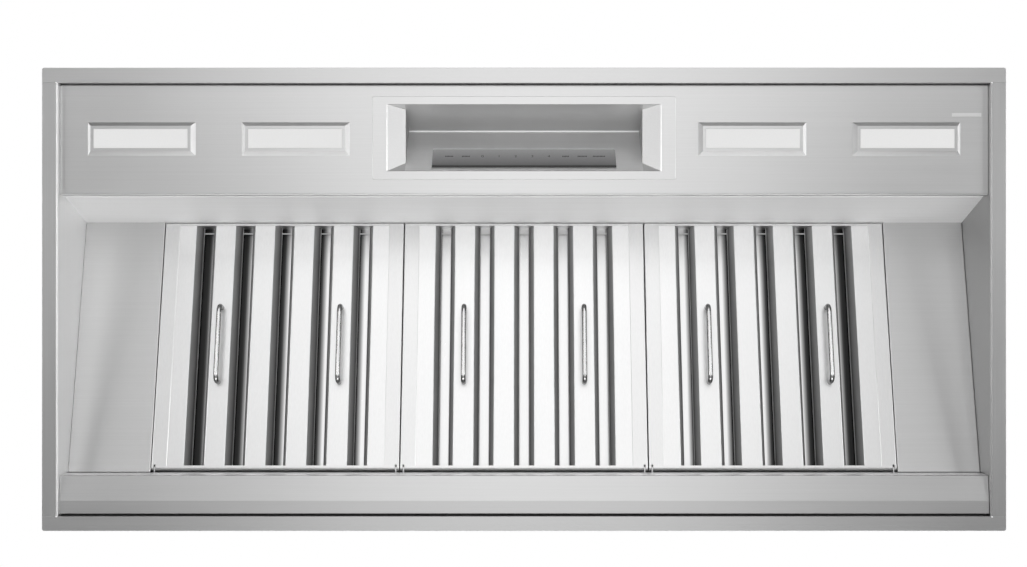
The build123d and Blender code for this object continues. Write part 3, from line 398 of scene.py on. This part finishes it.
# %% The box mask group
def box_mask_group():
    """1 inside a box given by its low and high corner, and 0 outside it."""
    tree, inside, out = new_group(
        "box mask",
        [("Low", "NodeSocketVector", (0, 0, 0)), ("High", "NodeSocketVector", (0, 0, 0))],
        [("Mask", "NodeSocketFloat")])
    place = object_place(tree)
    past_low = vector_node(tree, "SUBTRACT", place, inside.outputs["Low"])
    before_high = vector_node(tree, "SUBTRACT", inside.outputs["High"], place)
    split = add(tree, "ShaderNodeSeparateXYZ")
    tree.links.new(vector_node(tree, "MINIMUM", past_low, before_high), split.inputs[0])
    least = math_node(tree, "MINIMUM", split.outputs["X"], split.outputs["Y"])
    least = math_node(tree, "MINIMUM", least, split.outputs["Z"])
    tree.links.new(math_node(tree, "GREATER_THAN", least, 0.0), out.inputs["Mask"])
    return tree


BOX_MASK = box_mask_group()


def shade_box(material, across, along, upward, shade):
    """Multiplies the base colour by a grey inside a box, given by three spans in millimetres."""
    tree = material.node_tree
    low, high = (Vector(corner) * MM for corner in zip(across, along, upward))
    mask = put_group(tree, BOX_MASK, Low=low, High=high).outputs["Mask"]
    change = math_node(tree, "MULTIPLY", mask, shade - 1.0)
    tint_with(material, math_node(tree, "ADD", change, 1.0))


print("group", BOX_MASK.name, "with", len(BOX_MASK.nodes), "nodes")

# %% [markdown]
# ## The control plate and the tray
# The plate's face is a thin sheet on the panel, and its pocket is pressed up into the hood,
# so the height alone tells the two apart, and the pocket is painted lighter as painted light.
# In the pocket, the front wall, the upright ends and the ramps at both sides each get a
# painted shade of their own. On the tray, all is painted darker but the front wall, whose
# brightness is a painted reflection of the bright filters.

# %% Shades by place
PLATE_ROUGHNESS = 0.33
PLATE_SPAN = 20.0
# Painted light: the pocket is lighter than the plate's face.
PLATE_PAINTED_LIGHT = [(0.0, 0.66), (6.6, 0.66), (7.4, 0.92)]
POCKET_ROUGHNESS = [(0.0, PLATE_ROUGHNESS), (6.6, PLATE_ROUGHNESS), (7.4, 0.50)]
GROUND = (Vector((0, 0, 1)), 0.0)
# Each row: the spans across, from front to rear and upward, in millimetres, and the painted
# shade.
POCKET_PAINTED_SHADES = {
    "front wall": ((-146.1, 146.1), (-241.0, -214.3), (7.0, 72.5), 0.62),
    "left end": ((-148.0, -146.1), (-241.0, -155.0), (19.9, 72.5), 0.50),
    "left ramp": ((-170.0, -146.1), (-241.0, -155.0), (6.6, 19.8), 0.78),
    "right end": ((146.1, 148.0), (-241.0, -155.0), (19.9, 72.5), 0.50),
    "right ramp": ((146.1, 170.0), (-241.0, -155.0), (6.6, 19.8), 0.78),
}
# Painted shade on the tray behind its front wall, which leaves the front wall as a painted
# reflection.
TRAY_PAINTED_REFLECTION = ((-600.0, 600.0), (216.06, 300.0), (-5.0, 60.0), 0.63)

plate_steel = ramped_steel("plate_steel", PLATE_ROUGHNESS, ALONG_X, GROUND,
                           PLATE_SPAN, PLATE_PAINTED_LIGHT, POCKET_ROUGHNESS)
for box in POCKET_PAINTED_SHADES.values():
    shade_box(plate_steel, *box)
shade_box(tray_steel, *TRAY_PAINTED_REFLECTION)
print("shaded places:", ", ".join(POCKET_PAINTED_SHADES), "and the tray past its front wall")

# %% [markdown]
# ## The webs over the slots
# Each slot is closed above by the web of an inner baffle. In the photograph a web is darkest
# on its outer side, where the outer baffle shades it, and the dark part grows towards the
# ends of the hood. These filters are too shallow to do that by themselves, so it is painted.
# The place across a slot is the remainder of x over the slot pitch, and a linear sum of that
# place and of x itself is enough for a mask that does both.

# %% The inner baffles, one material for each filter
SLOT_PITCH = 51.0
FILTER_PITCH = 311.0
MIDDLE_FILTER = 2
INNER_ROUGHNESS = 0.30
INNER_SPAN = 30.0
# Painted shade on the legs of the inner baffles, up to the web.
INNER_LEG_PAINTED_SHADE = [(0.0, 0.2), (21.0, 0.2), (22.5, 1.0)]
WEB_SHADE_SLOPE = 0.0397
WEB_SHADE_STARTS = {1: 16.2, 2: 17.2, 3: 18.0}
WEB_SHADE_SPAN = 16.0
WEB_SHADES = [(0.0, 0.03), (2.5, 0.06), (6.0, 0.32), (9.5, 0.78)]


def place_across(tree, number):
    """How far right of the hood's middle, and of its slot's middle, a point is, in mm."""
    split = add(tree, "ShaderNodeSeparateXYZ")
    tree.links.new(object_place(tree), split.inputs[0])
    across = math_node(tree, "DIVIDE", split.outputs["X"], MM)
    slot_edge = (number - MIDDLE_FILTER) * FILTER_PITCH - SLOT_PITCH / 2
    from_edge = math_node(tree, "SUBTRACT", across, slot_edge)
    in_slot = math_node(tree, "FLOORED_MODULO", from_edge, SLOT_PITCH)
    return across, math_node(tree, "SUBTRACT", in_slot, SLOT_PITCH / 2)


def web_steel(number):
    """The inner baffles of one filter: legs darkened with painted shade, and a web with painted
    shade on its outer side.
    """
    material = ramped_steel(f"inner_baffle_steel_{number}", INNER_ROUGHNESS, ALONG_Y, face_plane,
                            INNER_SPAN, INNER_LEG_PAINTED_SHADE)
    tree = material.node_tree
    across, in_slot = place_across(tree, number)
    outward = math_node(tree, "MULTIPLY", in_slot, math_node(tree, "SIGN", across))
    inward = math_node(tree, "MULTIPLY", outward, -1.0)
    from_middle = math_node(tree, "ABSOLUTE", across)
    reach = math_node(tree, "MULTIPLY", from_middle, WEB_SHADE_SLOPE)
    past_start = math_node(tree, "ADD", inward, WEB_SHADE_STARTS[number])
    open_by = math_node(tree, "SUBTRACT", past_start, reach)
    tint_with(material, ramp_over(tree, open_by, WEB_SHADE_SPAN, WEB_SHADES))
    return material


web_steels = {number: web_steel(number) for number in FILTERS}
print("web steels", len(web_steels))

# %% [markdown]
# ## Galvanised sheet
# The blower, the adapter and the collar are hidden, so they are made of zinc-coated sheet,
# whose crystals show as a mosaic of grey spangles. A Voronoi texture gives each cell its own
# random colour, and a colour ramp turns that into neighbouring greys.

# %% Zinc with its spangles
SPANGLE_SCALE = 90.0
SPANGLE_DARK = (0.42, 0.43, 0.45, 1)
SPANGLE_LIGHT = (0.62, 0.63, 0.65, 1)
SPANGLE_ROUGHNESS, SPANGLE_CHANGE = 0.34, 0.12


def colour_ramp(tree, value, low, high):
    """Two colours, mixed by a value between 0 and 1."""
    ramp = add(tree, "ShaderNodeValToRGB")
    ramp.color_ramp.elements[0].color = low
    ramp.color_ramp.elements[1].color = high
    tree.links.new(value, ramp.inputs[0])
    return ramp.outputs[0]


def galvanised_sheet():
    """Zinc-coated steel, where each crystal has its own grey and roughness."""
    material, tree, shader = new_material("galvanised_sheet")
    cells = add(tree, "ShaderNodeTexVoronoi")
    cells.inputs["Scale"].default_value = SPANGLE_SCALE
    tree.links.new(object_place(tree), cells.inputs["Vector"])
    channels = add(tree, "ShaderNodeSeparateColor")
    tree.links.new(cells.outputs["Color"], channels.inputs[0])
    grey = colour_ramp(tree, channels.outputs[0], SPANGLE_DARK, SPANGLE_LIGHT)
    tree.links.new(grey, shader.inputs["Base Color"])
    change = math_node(tree, "MULTIPLY", channels.outputs[1], SPANGLE_CHANGE)
    rough = math_node(tree, "ADD", change, SPANGLE_ROUGHNESS)
    tree.links.new(rough, shader.inputs["Roughness"])
    shader.inputs["Metallic"].default_value = 1.0
    return material


zinc = galvanised_sheet()
print("spangles about", round(1000 / SPANGLE_SCALE), "mm across")

# %% [markdown]
# ## Paint, plastic and glass
# The motor and the driver are painted, the LED modules are moulded, and the lenses and the
# touch strip are frosted. None of these is a mirror, so a plain colour with a finely uneven
# skin is enough for all of them. The same noise raises the skin and varies the colour by a
# few hundredths. The lenses glow a little, as if their lights were dimmed.

# %% Finishes that are not metal
SKIN_DETAIL = 3.0
SKIN_DARK, SKIN_LIGHT = 0.92, 1.08
LENS_GLOW = 0.07


def orange_peel(name, color, roughness, scale, depth):
    """Paint or moulded plastic: a plain colour with a finely uneven skin."""
    material, tree, shader = new_material(name)
    skin = noise(tree, object_place(tree), scale, SKIN_DETAIL)
    tree.links.new(bump(tree, skin, depth), shader.inputs["Normal"])
    low = (*[SKIN_DARK * c for c in color], 1)
    high = (*[min(SKIN_LIGHT * c, 1) for c in color], 1)
    tree.links.new(colour_ramp(tree, skin, low, high), shader.inputs["Base Color"])
    shader.inputs["Roughness"].default_value = roughness
    return material


black_paint = orange_peel("black_paint", (0.035, 0.035, 0.037), 0.45, 900.0, 0.25)
white_plastic = orange_peel("white_plastic", (0.80, 0.80, 0.78), 0.5, 700.0, 0.10)
strip_glass = orange_peel("strip_glass", (0.92, 0.92, 0.93), 0.32, 400.0, 0.04)
strip_ink = orange_peel("strip_ink", (0.02, 0.02, 0.02), 0.6, 900.0, 0.10)
frosted_lens = orange_peel("frosted_lens", (0.82, 0.82, 0.815), 0.42, 1400.0, 0.30)
shader_of(frosted_lens).inputs["Emission Color"].default_value = WHITE
shader_of(frosted_lens).inputs["Emission Strength"].default_value = LENS_GLOW
print("lens glow", LENS_GLOW)

# %% [markdown]
# ## The circuit board
# The control board is behind the panel and needs no single tracks. A Brick texture with very
# small bricks looks like a field of soldered pads: two dark greens for the lacquer, and a
# lighter green between them for the copper underneath.

# %% The board's pattern
TRACK_SCALE = 260.0
TRACK_WIDTH = 0.06
LACQUERS = {"Color1": (0.02, 0.14, 0.06, 1), "Color2": (0.03, 0.19, 0.08, 1),
            "Mortar": (0.10, 0.34, 0.14, 1)}
BOARD_ROUGHNESS = 0.4


def circuit_board():
    """Green lacquer with a fine pattern of tracks."""
    material, tree, shader = new_material("circuit_board")
    tracks = add(tree, "ShaderNodeTexBrick")
    tracks.inputs["Scale"].default_value = TRACK_SCALE
    tracks.inputs["Mortar Size"].default_value = TRACK_WIDTH
    for name, colour in LACQUERS.items():
        tracks.inputs[name].default_value = colour
    tree.links.new(object_place(tree), tracks.inputs["Vector"])
    tree.links.new(tracks.outputs["Color"], shader.inputs["Base Color"])
    shader.inputs["Roughness"].default_value = BOARD_ROUGHNESS
    return material


board = circuit_board()
print("materials", len(bpy.data.materials))

# %% [markdown]
# ## Dress the frame
# The node names say what each solid is, so one dictionary is enough to hand every sheet its
# material. Only the material slots change: the meshes stay exactly as the CAD made them.

# %% Give every CAD node its material
FINISHES = {
    flange_steel: ["flange_front", "flange_rear"],
    side_flange_steel: ["flange_left", "flange_right"],
    left_wall_painted_light_steel: ["wall_left"],
    right_wall_painted_shade_steel: ["wall_right"],
    end_wall_steel: ["wall_front", "wall_rear", "top_panel"],
    panel_steel: ["light_panel"] + [f"light_{i}_bezel" for i in LIGHTS],
    baffle_plate_steel: ["baffle_plate"],
    filler_steel: ["filler_left", "filler_right", "filter_rail", "tray_brackets"],
    tray_steel: ["grease_tray"],
    plate_steel: ["control_plate"],
    screw_steel: ["top_screws", "blower_shaft", "damper_rod"]
                 + [f"filter_{i}_clips" for i in FILTERS],
    bar_chrome: [f"filter_{i}_handles" for i in FILTERS],
    rim_steel: [f"filter_{i}_rim" for i in FILTERS],
    outer_baffle_steel: [f"filter_{i}_outer_baffles" for i in FILTERS],
    zinc: ["blower_housing_left", "blower_housing_right", "blower_wheel_left",
           "blower_wheel_right", "motor_spiders", "outlet_adapter", "duct_collar",
           "damper_flap_front", "damper_flap_rear", "junction_box", "junction_box_cover"],
    black_paint: ["blower_motor", "led_driver"],
    white_plastic: ["led_modules"],
    frosted_lens: [f"light_{i}_lens" for i in LIGHTS],
    strip_glass: ["touch_strip"],
    board: ["control_board"],
}
for number, material in web_steels.items():
    FINISHES[material] = [f"filter_{number}_inner_baffles"]

dressed = 0
for material, names in FINISHES.items():
    for name in names:
        for slot in frame["nodes"][name].material_slots:
            slot.material = material
            dressed += 1
print("slots given a finish:", dressed, "of", len(frame["nodes"]), "nodes")

# %% [markdown]
# ## Small pieces
# Sheet-metal drawings stop at the sheets. The pieces below are made from bmesh operators:
# each starts from one of the create operators, is shaped by scale and bevel, and is moved to
# its place in the mesh itself, so its object stays at the origin. Only the numbers on the
# touch strip start as text. A plate with rounded corners serves three times, so it is a
# helper.

# %% Helpers for new pieces
# An edge that climbs less than LEVEL lies flat, and points closer than WELD become one.
LEVEL = 1e-9
WELD = 1e-7


def new_vertices(tool, known):
    """The vertices that were made since a set of them was taken."""
    return [v for v in tool.verts if v not in known]


def soften(tool, edges, offset, segments):
    """Bevels edges, each of them once."""
    bmesh.ops.bevel(tool, geom=list(dict.fromkeys(edges)), offset=offset, segments=segments,
                    profile=0.5, affect="EDGES", material=-1)


def rise(edge):
    """How far an edge climbs."""
    return abs(edge.verts[0].co.z - edge.verts[1].co.z)


def rounded_plate(tool, size, place, radius, edge):
    """A plate with rounded upright corners and, if asked, softened edges, put at a place."""
    known = set(tool.verts)
    made = bmesh.ops.create_cube(tool, size=1.0)["verts"]
    bmesh.ops.scale(tool, vec=size, verts=made)
    upright = [e for v in made for e in v.link_edges if rise(e) > size[2] / 2]
    soften(tool, upright, radius, 3)
    if edge:
        fresh = new_vertices(tool, known)
        soften(tool, [e for v in fresh for e in v.link_edges if rise(e) < LEVEL], edge, 2)
    bmesh.ops.transform(tool, matrix=place, verts=new_vertices(tool, known))


def finish_piece(name, tool, material, body):
    """Turns a bmesh into an object, gives it its finish and lets it ride on its body."""
    bmesh.ops.remove_doubles(tool, verts=tool.verts, dist=WELD)
    bmesh.ops.recalc_face_normals(tool, faces=tool.faces)
    mesh = bpy.data.meshes.new(name)
    tool.to_mesh(mesh)
    tool.free()
    mesh.materials.append(material)
    piece = bpy.data.objects.new(name, mesh)
    bpy.context.scene.collection.objects.link(piece)
    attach(piece, body)
    print(name, "has", len(mesh.polygons), "faces")


print("helpers ready")

# %% [markdown]
# ## Badge plate
# A small plate sits at the right end of the light panel. It could be a decal, but a decal
# throws no edge of light. Here it is a thin brushed plate with soft corners, flat on the
# panel and bare.

# %% The badge plate
BADGE_LEFT, BADGE_RIGHT = 525 * MM, 561 * MM
BADGE_FRONT, BADGE_REAR = -228.7 * MM, -224.1 * MM
BADGE_THICK = 0.6 * MM
BADGE_CORNER = 0.5 * MM
BADGE_EDGE = 0.12 * MM

panel_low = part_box("light_panel")[0].z
badge_size = (BADGE_RIGHT - BADGE_LEFT, BADGE_REAR - BADGE_FRONT, BADGE_THICK)
badge_middle = Vector(((BADGE_LEFT + BADGE_RIGHT) / 2, (BADGE_FRONT + BADGE_REAR) / 2,
                       panel_low - BADGE_THICK / 2))
badge = bmesh.new()
rounded_plate(badge, badge_size, Matrix.Translation(badge_middle), BADGE_CORNER, BADGE_EDGE)
finish_piece("badge_plate", badge, badge_steel, "canopy")
print("badge plate", [round(v / MM, 1) for v in badge_size])

# %% [markdown]
# ## The face of the touch strip
# The strip leans on the rear wall of the pocket, so everything on it needs a frame of its
# own: one direction up the strip, one out of it, and its middle. The tilt comes from the
# pocket's wall, and the rest is measured from the strip's mesh. The strip carries painted
# shade, darkest along its lower edge and lighter up its face, and a painted highlight along
# its upper edge. One ramp over its height paints all three.

# %% The strip's frame and gradient
POCKET_RISE, POCKET_RUN = 66.0, 55.7
INK = 0.05 * MM
STRIP_EDGE_START, STRIP_EDGE_END = 2.0, 1.7

strip_tilt = math.atan2(POCKET_RISE, POCKET_RUN)
strip_up = Vector((0, -math.cos(strip_tilt), math.sin(strip_tilt)))
strip_out = Vector((0, -math.sin(strip_tilt), -math.cos(strip_tilt)))
strip_points = [v.co for v in frame["nodes"]["touch_strip"].data.vertices]
strip_low = min(strip_up.dot(point) for point in strip_points)
strip_high = max(strip_up.dot(point) for point in strip_points)
strip_level = max(strip_out.dot(point) for point in strip_points)
strip_middle = strip_up * (strip_low + strip_high) / 2 + strip_out * (strip_level + INK / 2)
strip_face = Matrix.Translation(strip_middle) @ Matrix((
    (1, 0, 0, 0), (0, strip_up.y, strip_out.y, 0), (0, strip_up.z, strip_out.z, 0), (0, 0, 0, 1)))

strip_height = (strip_high - strip_low) / MM
# Painted shade up the strip's face and a painted highlight along its upper edge.
strip_painted_shade_and_highlight = [(0.0, 0.02), (1.0, 0.03), (1.4, 0.17),
                (strip_height - STRIP_EDGE_START, 0.42), (strip_height - STRIP_EDGE_END, 1.0)]
strip_tree = strip_glass.node_tree
up_strip = height_over(strip_tree, (strip_up, -strip_low))
tint_with(strip_glass, ramp_over(strip_tree, up_strip, strip_height, strip_painted_shade_and_highlight))
print("strip middle", [round(v / MM, 1) for v in strip_middle])
print("strip height", round(strip_height, 1), "mm")

# %% [markdown]
# ## Marks on the touch strip
# The strip is printed with ten small marks in a row: five plain numbers for the fan speeds,
# with rows of small bars at both sides of them. A printed mark is a film of ink, so each is
# only a few hundredths of a millimetre thick, or flat where it comes from text. The strip's
# frame lays them all on its face with one matrix.

# %% Numbers and bars
MARK_COUNT = 10
MARK_PITCH = 20.6 * MM
MARK_RISE = 1.0 * MM
FIRST_NUMBER = 2
NUMBER_HEIGHT = 4.6 * MM
FONT_PER_HEIGHT = 1.4
BAR_WIDTHS = {0: 10.6 * MM, 1: 10.0 * MM, 7: 9.3 * MM, 8: 11.9 * MM, 9: 16.0 * MM}
BAR_PIECE = 1.1 * MM
BAR_STEP = 1.7 * MM
BAR_HEIGHT = 2.5 * MM
BAR_CORNER = 0.25 * MM


def centred(count, step):
    """Places in a row, evenly spaced about 0."""
    return [(i - (count - 1) / 2) * step for i in range(count)]


def number_mesh(text):
    """The outline of a number as a flat mesh, centred on the origin."""
    curve = bpy.data.curves.new("number", "FONT")
    curve.body = text
    curve.size = NUMBER_HEIGHT * FONT_PER_HEIGHT
    curve.align_x = "CENTER"
    curve.align_y = "CENTER"
    letter = bpy.data.objects.new("number", curve)
    mesh = bpy.data.meshes.new_from_object(letter)
    bpy.data.objects.remove(letter)
    return mesh


marks = bmesh.new()
for i, across in enumerate(centred(MARK_COUNT, MARK_PITCH)):
    if i in BAR_WIDTHS:
        for shift in centred(round(BAR_WIDTHS[i] / BAR_STEP), BAR_STEP):
            place = strip_face @ Matrix.Translation((across + shift, MARK_RISE, 0))
            rounded_plate(marks, (BAR_PIECE, BAR_HEIGHT, INK), place, BAR_CORNER, 0)
    else:
        known = set(marks.verts)
        marks.from_mesh(number_mesh(str(i - FIRST_NUMBER)))
        place = strip_face @ Matrix.Translation((across, MARK_RISE, 0))
        bmesh.ops.transform(marks, matrix=place, verts=new_vertices(marks, known))
finish_piece("strip_marks", marks, strip_ink, "canopy")
print("marks on the strip:", MARK_COUNT)

# %% [markdown]
# ## Ties over the slots
# At the front end of each slot a narrow strap ties the tops of the two baffles together. It
# rests on the edges of their legs, so its height is read from the mesh, and its place down
# the slope is counted from the front edge of the filter.

# %% Fifteen ties
SLOT_COUNT = 5
TIE_SIZE = (15.0 * MM, 1.7 * MM, 1.0 * MM)
TIE_CORNER = 0.4 * MM
TIE_FROM_FRONT = 7.0 * MM

for number in FILTERS:
    baffles = frame["nodes"][f"filter_{number}_outer_baffles"].data.vertices
    top = max(face_up.dot(v.co) for v in baffles)
    front = min(slope_down.dot(v.co) for v in baffles)
    on_slope = slope_down * (front + TIE_FROM_FRONT) + face_up * (top + TIE_SIZE[2] / 2)
    ties = bmesh.new()
    for across in centred(SLOT_COUNT, SLOT_PITCH):
        x = ((number - MIDDLE_FILTER) * FILTER_PITCH + across) * MM
        middle = on_slope + Vector((x, 0, 0))
        lean = Matrix.Translation(middle) @ Matrix.Rotation(-FILTER_SLOPE, 4, "X")
        rounded_plate(ties, TIE_SIZE, lean, TIE_CORNER, 0)
    finish_piece(f"filter_{number}_ties", ties, rim_steel, f"filter_{number}")
print("ties", len(FILTERS) * SLOT_COUNT, "last at", [round(v / MM, 1) for v in middle])

# %% [markdown]
# ## Screws
# The foot of the duct collar is held by eight small sheet-metal screws. A pan head is a short
# cylinder whose top edge is bevelled. Its cross could be cut in with a Boolean, but at this
# size two thin crossed bars, barely proud of the head, catch the light in the same way. Made
# once as a function, a head can be placed on any face by a point and a direction.

# %% Pan-head screws
HEAD_RADIUS = 3.6 * MM
HEAD_HEIGHT = 2.0 * MM
HEAD_SIDES = 20
HEAD_TAPER = 0.92
HEAD_ROUNDING = 0.4 * HEAD_HEIGHT
NEAR_TOP = 0.9 * HEAD_HEIGHT
CROSS_SIZE = (3.6 * MM, 0.8 * MM, 0.5 * MM)
CROSS_SINK = 0.4 * CROSS_SIZE[2]


def screw_head(tool, point, direction):
    """A domed head with a cross, standing on a face at a point."""
    known = set(tool.verts)
    made = bmesh.ops.create_cone(
        tool, cap_ends=True, segments=HEAD_SIDES, radius1=HEAD_RADIUS,
        radius2=HEAD_RADIUS * HEAD_TAPER, depth=HEAD_HEIGHT)["verts"]
    bmesh.ops.translate(tool, vec=(0, 0, HEAD_HEIGHT / 2), verts=made)
    soften(tool, [e for v in made for e in v.link_edges
                  if min(w.co.z for w in e.verts) > NEAR_TOP], HEAD_ROUNDING, 3)
    for quarter in (0, math.pi / 2):
        bar = bmesh.ops.create_cube(tool, size=1.0)["verts"]
        bmesh.ops.scale(tool, vec=CROSS_SIZE, verts=bar)
        bmesh.ops.rotate(tool, matrix=Matrix.Rotation(quarter, 3, "Z"), verts=bar)
        bmesh.ops.translate(tool, vec=(0, 0, HEAD_HEIGHT - CROSS_SINK), verts=bar)
    turn = Vector((0, 0, 1)).rotation_difference(Vector(direction)).to_matrix().to_4x4()
    bmesh.ops.transform(tool, matrix=Matrix.Translation(point) @ turn,
                        verts=new_vertices(tool, known))


COLLAR_SCREWS = 8
FOOT_MARGIN = 7.0 * MM
FOOT_THICK = 1.0 * MM

collar_low, collar_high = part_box("duct_collar")
collar_middle = (collar_low + collar_high) / 2
foot_radius = (collar_high.x - collar_low.x) / 2 - FOOT_MARGIN
heads = bmesh.new()
for i in range(COLLAR_SCREWS):
    angle = 2 * math.pi * (i + 0.5) / COLLAR_SCREWS
    foot = (foot_radius * math.cos(angle), collar_middle.y + foot_radius * math.sin(angle),
            collar_low.z + FOOT_THICK)
    screw_head(heads, foot, (0, 0, 1))
finish_piece("collar_screws", heads, screw_steel, "canopy")
print("collar screws on a radius of", round(foot_radius / MM, 1))

# %% [markdown]
# ## World
# The photograph shows the hood against plain white. The world is white to the camera and
# dimmer as a lamp, so the background stays clean without flattening the metal. Light Path
# tells the two apart.

# %% The world
WORLD_LIGHT = 0.10


def make_world():
    """A studio that the camera sees as white, and that lights only a little."""
    world = bpy.data.worlds.new("studio")
    bpy.context.scene.world = world
    world.use_nodes = True
    tree = world.node_tree
    backdrop = tree.nodes["Background"]
    backdrop.inputs["Color"].default_value = WHITE
    lamp = add(tree, "ShaderNodeBackground")
    lamp.inputs["Color"].default_value = WHITE
    lamp.inputs["Strength"].default_value = WORLD_LIGHT
    seen = add(tree, "ShaderNodeLightPath").outputs["Is Camera Ray"]
    mix = add(tree, "ShaderNodeMixShader")
    tree.links.new(seen, mix.inputs[0])
    tree.links.new(lamp.outputs[0], mix.inputs[1])
    tree.links.new(backdrop.outputs[0], mix.inputs[2])
    tree.links.new(mix.outputs[0], tree.nodes["World Output"].inputs["Surface"])


make_world()
bpy.context.scene.view_settings.view_transform = "Standard"
print("world light", WORLD_LIGHT)

# %% [markdown]
# ## Floor
# The hood hangs over a pale floor. It is behind the camera in the photograph's view, and
# shows in views from the side and from above. Lit by the softboxes alone it looked dark grey,
# so it is treated like the world: it glows a little for the camera alone, and its glow lights
# nothing.

# %% The floor
FLOOR_Z = -4.0
FLOOR_HALF = 9.0
FLOOR_GLOW = 0.55

floor_paint = orange_peel("floor_paint", (0.72, 0.72, 0.72), 0.7, 30.0, 0.05)
floor_tree = floor_paint.node_tree
floor_shader = shader_of(floor_paint)
floor_shader.inputs["Emission Color"].default_value = WHITE
seen_directly = add(floor_tree, "ShaderNodeLightPath").outputs["Is Camera Ray"]
glow = math_node(floor_tree, "MULTIPLY", seen_directly, FLOOR_GLOW)
floor_tree.links.new(glow, floor_shader.inputs["Emission Strength"])

floor_tool = bmesh.new()
bmesh.ops.create_grid(floor_tool, x_segments=1, y_segments=1, size=FLOOR_HALF)
bmesh.ops.translate(floor_tool, vec=(0, 0, FLOOR_Z), verts=floor_tool.verts)
floor_mesh = bpy.data.meshes.new("floor")
floor_tool.to_mesh(floor_mesh)
floor_tool.free()
floor_mesh.materials.append(floor_paint)
floor = bpy.data.objects.new("floor", floor_mesh)
bpy.context.scene.collection.objects.link(floor)
print("floor", 2 * FLOOR_HALF, "m wide at z", FLOOR_Z)

# %% [markdown]
# ## Light
# In the photograph one broad soft light comes from below and is strongest in the middle.
# Steel mostly shows what it reflects, so the softboxes sit where the sheets mirror them: three
# below for the flat sheets, two each at the front, rear and right, and one at the left for the
# walls and the filters, and one overhead for views of the top. Their powers were found by
# comparing renders with the photograph.

# %% Softboxes
# Each row: place and aim in metres, width and height in metres, and power in watts.
SOFTBOXES = {
    "below_front": ((0, -1.35, -2.3), (0, -1.35, 0), 2.3, 1.5, 10.6),
    "below_rear": ((0, 0.1, -2.3), (0, 0.1, 0), 1.4, 1.5, 6.3),
    "below_broad": ((0, -0.4, -3.0), (0, -0.4, 0), 3.7, 3.7, 8.0),
    "right_low": ((1.8, -0.2, -1.0), (-0.4, -0.2, 0.1), 1.0, 1.0, 10),
    "right_level": ((2.6, -0.2, -0.25), (0, -0.2, 0), 1.2, 0.6, 6),
    "rear_low": ((0, 1.7, -0.75), (0, -0.12, 0.07), 2.2, 0.8, 18),
    "front_low": ((0, -1.75, -1.3), (0, -0.2, 0.03), 2.2, 0.8, 8),
    "left_low": ((-1.8, -0.2, -1.0), (0.4, -0.2, 0.1), 1.0, 1.0, 10),
    "overhead": ((0.4, -0.6, 2.2), (0, 0, 0.3), 1.8, 1.5, 24),
    "front_high": ((-1.4, -2.0, 1.0), (0, 0, 0.2), 1.4, 1.4, 15),
    "rear_high": ((1.3, 2.1, 1.0), (0, 0, 0.2), 1.4, 1.4, 15),
}


def softbox(name, place, aim, width, height, power):
    """A rectangular area light that the camera doesn't see itself."""
    data = bpy.data.lights.new(name, "AREA")
    data.shape = "RECTANGLE"
    data.size = width
    data.size_y = height
    data.energy = power
    lamp = bpy.data.objects.new(name, data)
    lamp.location = place
    lamp.rotation_euler = (Vector(aim) - Vector(place)).to_track_quat("-Z", "Y").to_euler()
    lamp.visible_camera = False
    bpy.context.scene.collection.objects.link(lamp)


for name, row in SOFTBOXES.items():
    softbox(name, *row)
print("lights", len(bpy.data.lights))

# %% [markdown]
# ## Camera
# The photograph looks straight up into the hood. A camera looks along its own -Z, so half a
# turn about X points it up, with the cook's side of the hood at the top of the frame. The
# shift moves the frame a little without changing the perspective.

# %% The camera under the hood
CAMERA_DROP = 1.7423
FOCAL_LENGTH = 50
SENSOR_WIDTH = 36
SHIFT_X = -0.01027
SHIFT_Y = 0.01541

lens = bpy.data.cameras.new("camera")
lens.lens = FOCAL_LENGTH
lens.sensor_width = SENSOR_WIDTH
lens.shift_x = SHIFT_X
lens.shift_y = SHIFT_Y
camera = bpy.data.objects.new("camera", lens)
camera.location = (0, 0, -CAMERA_DROP)
camera.rotation_euler = (math.pi, 0, 0)
bpy.context.scene.collection.objects.link(camera)
bpy.context.scene.camera = camera
print("camera", CAMERA_DROP, "m under the flange")
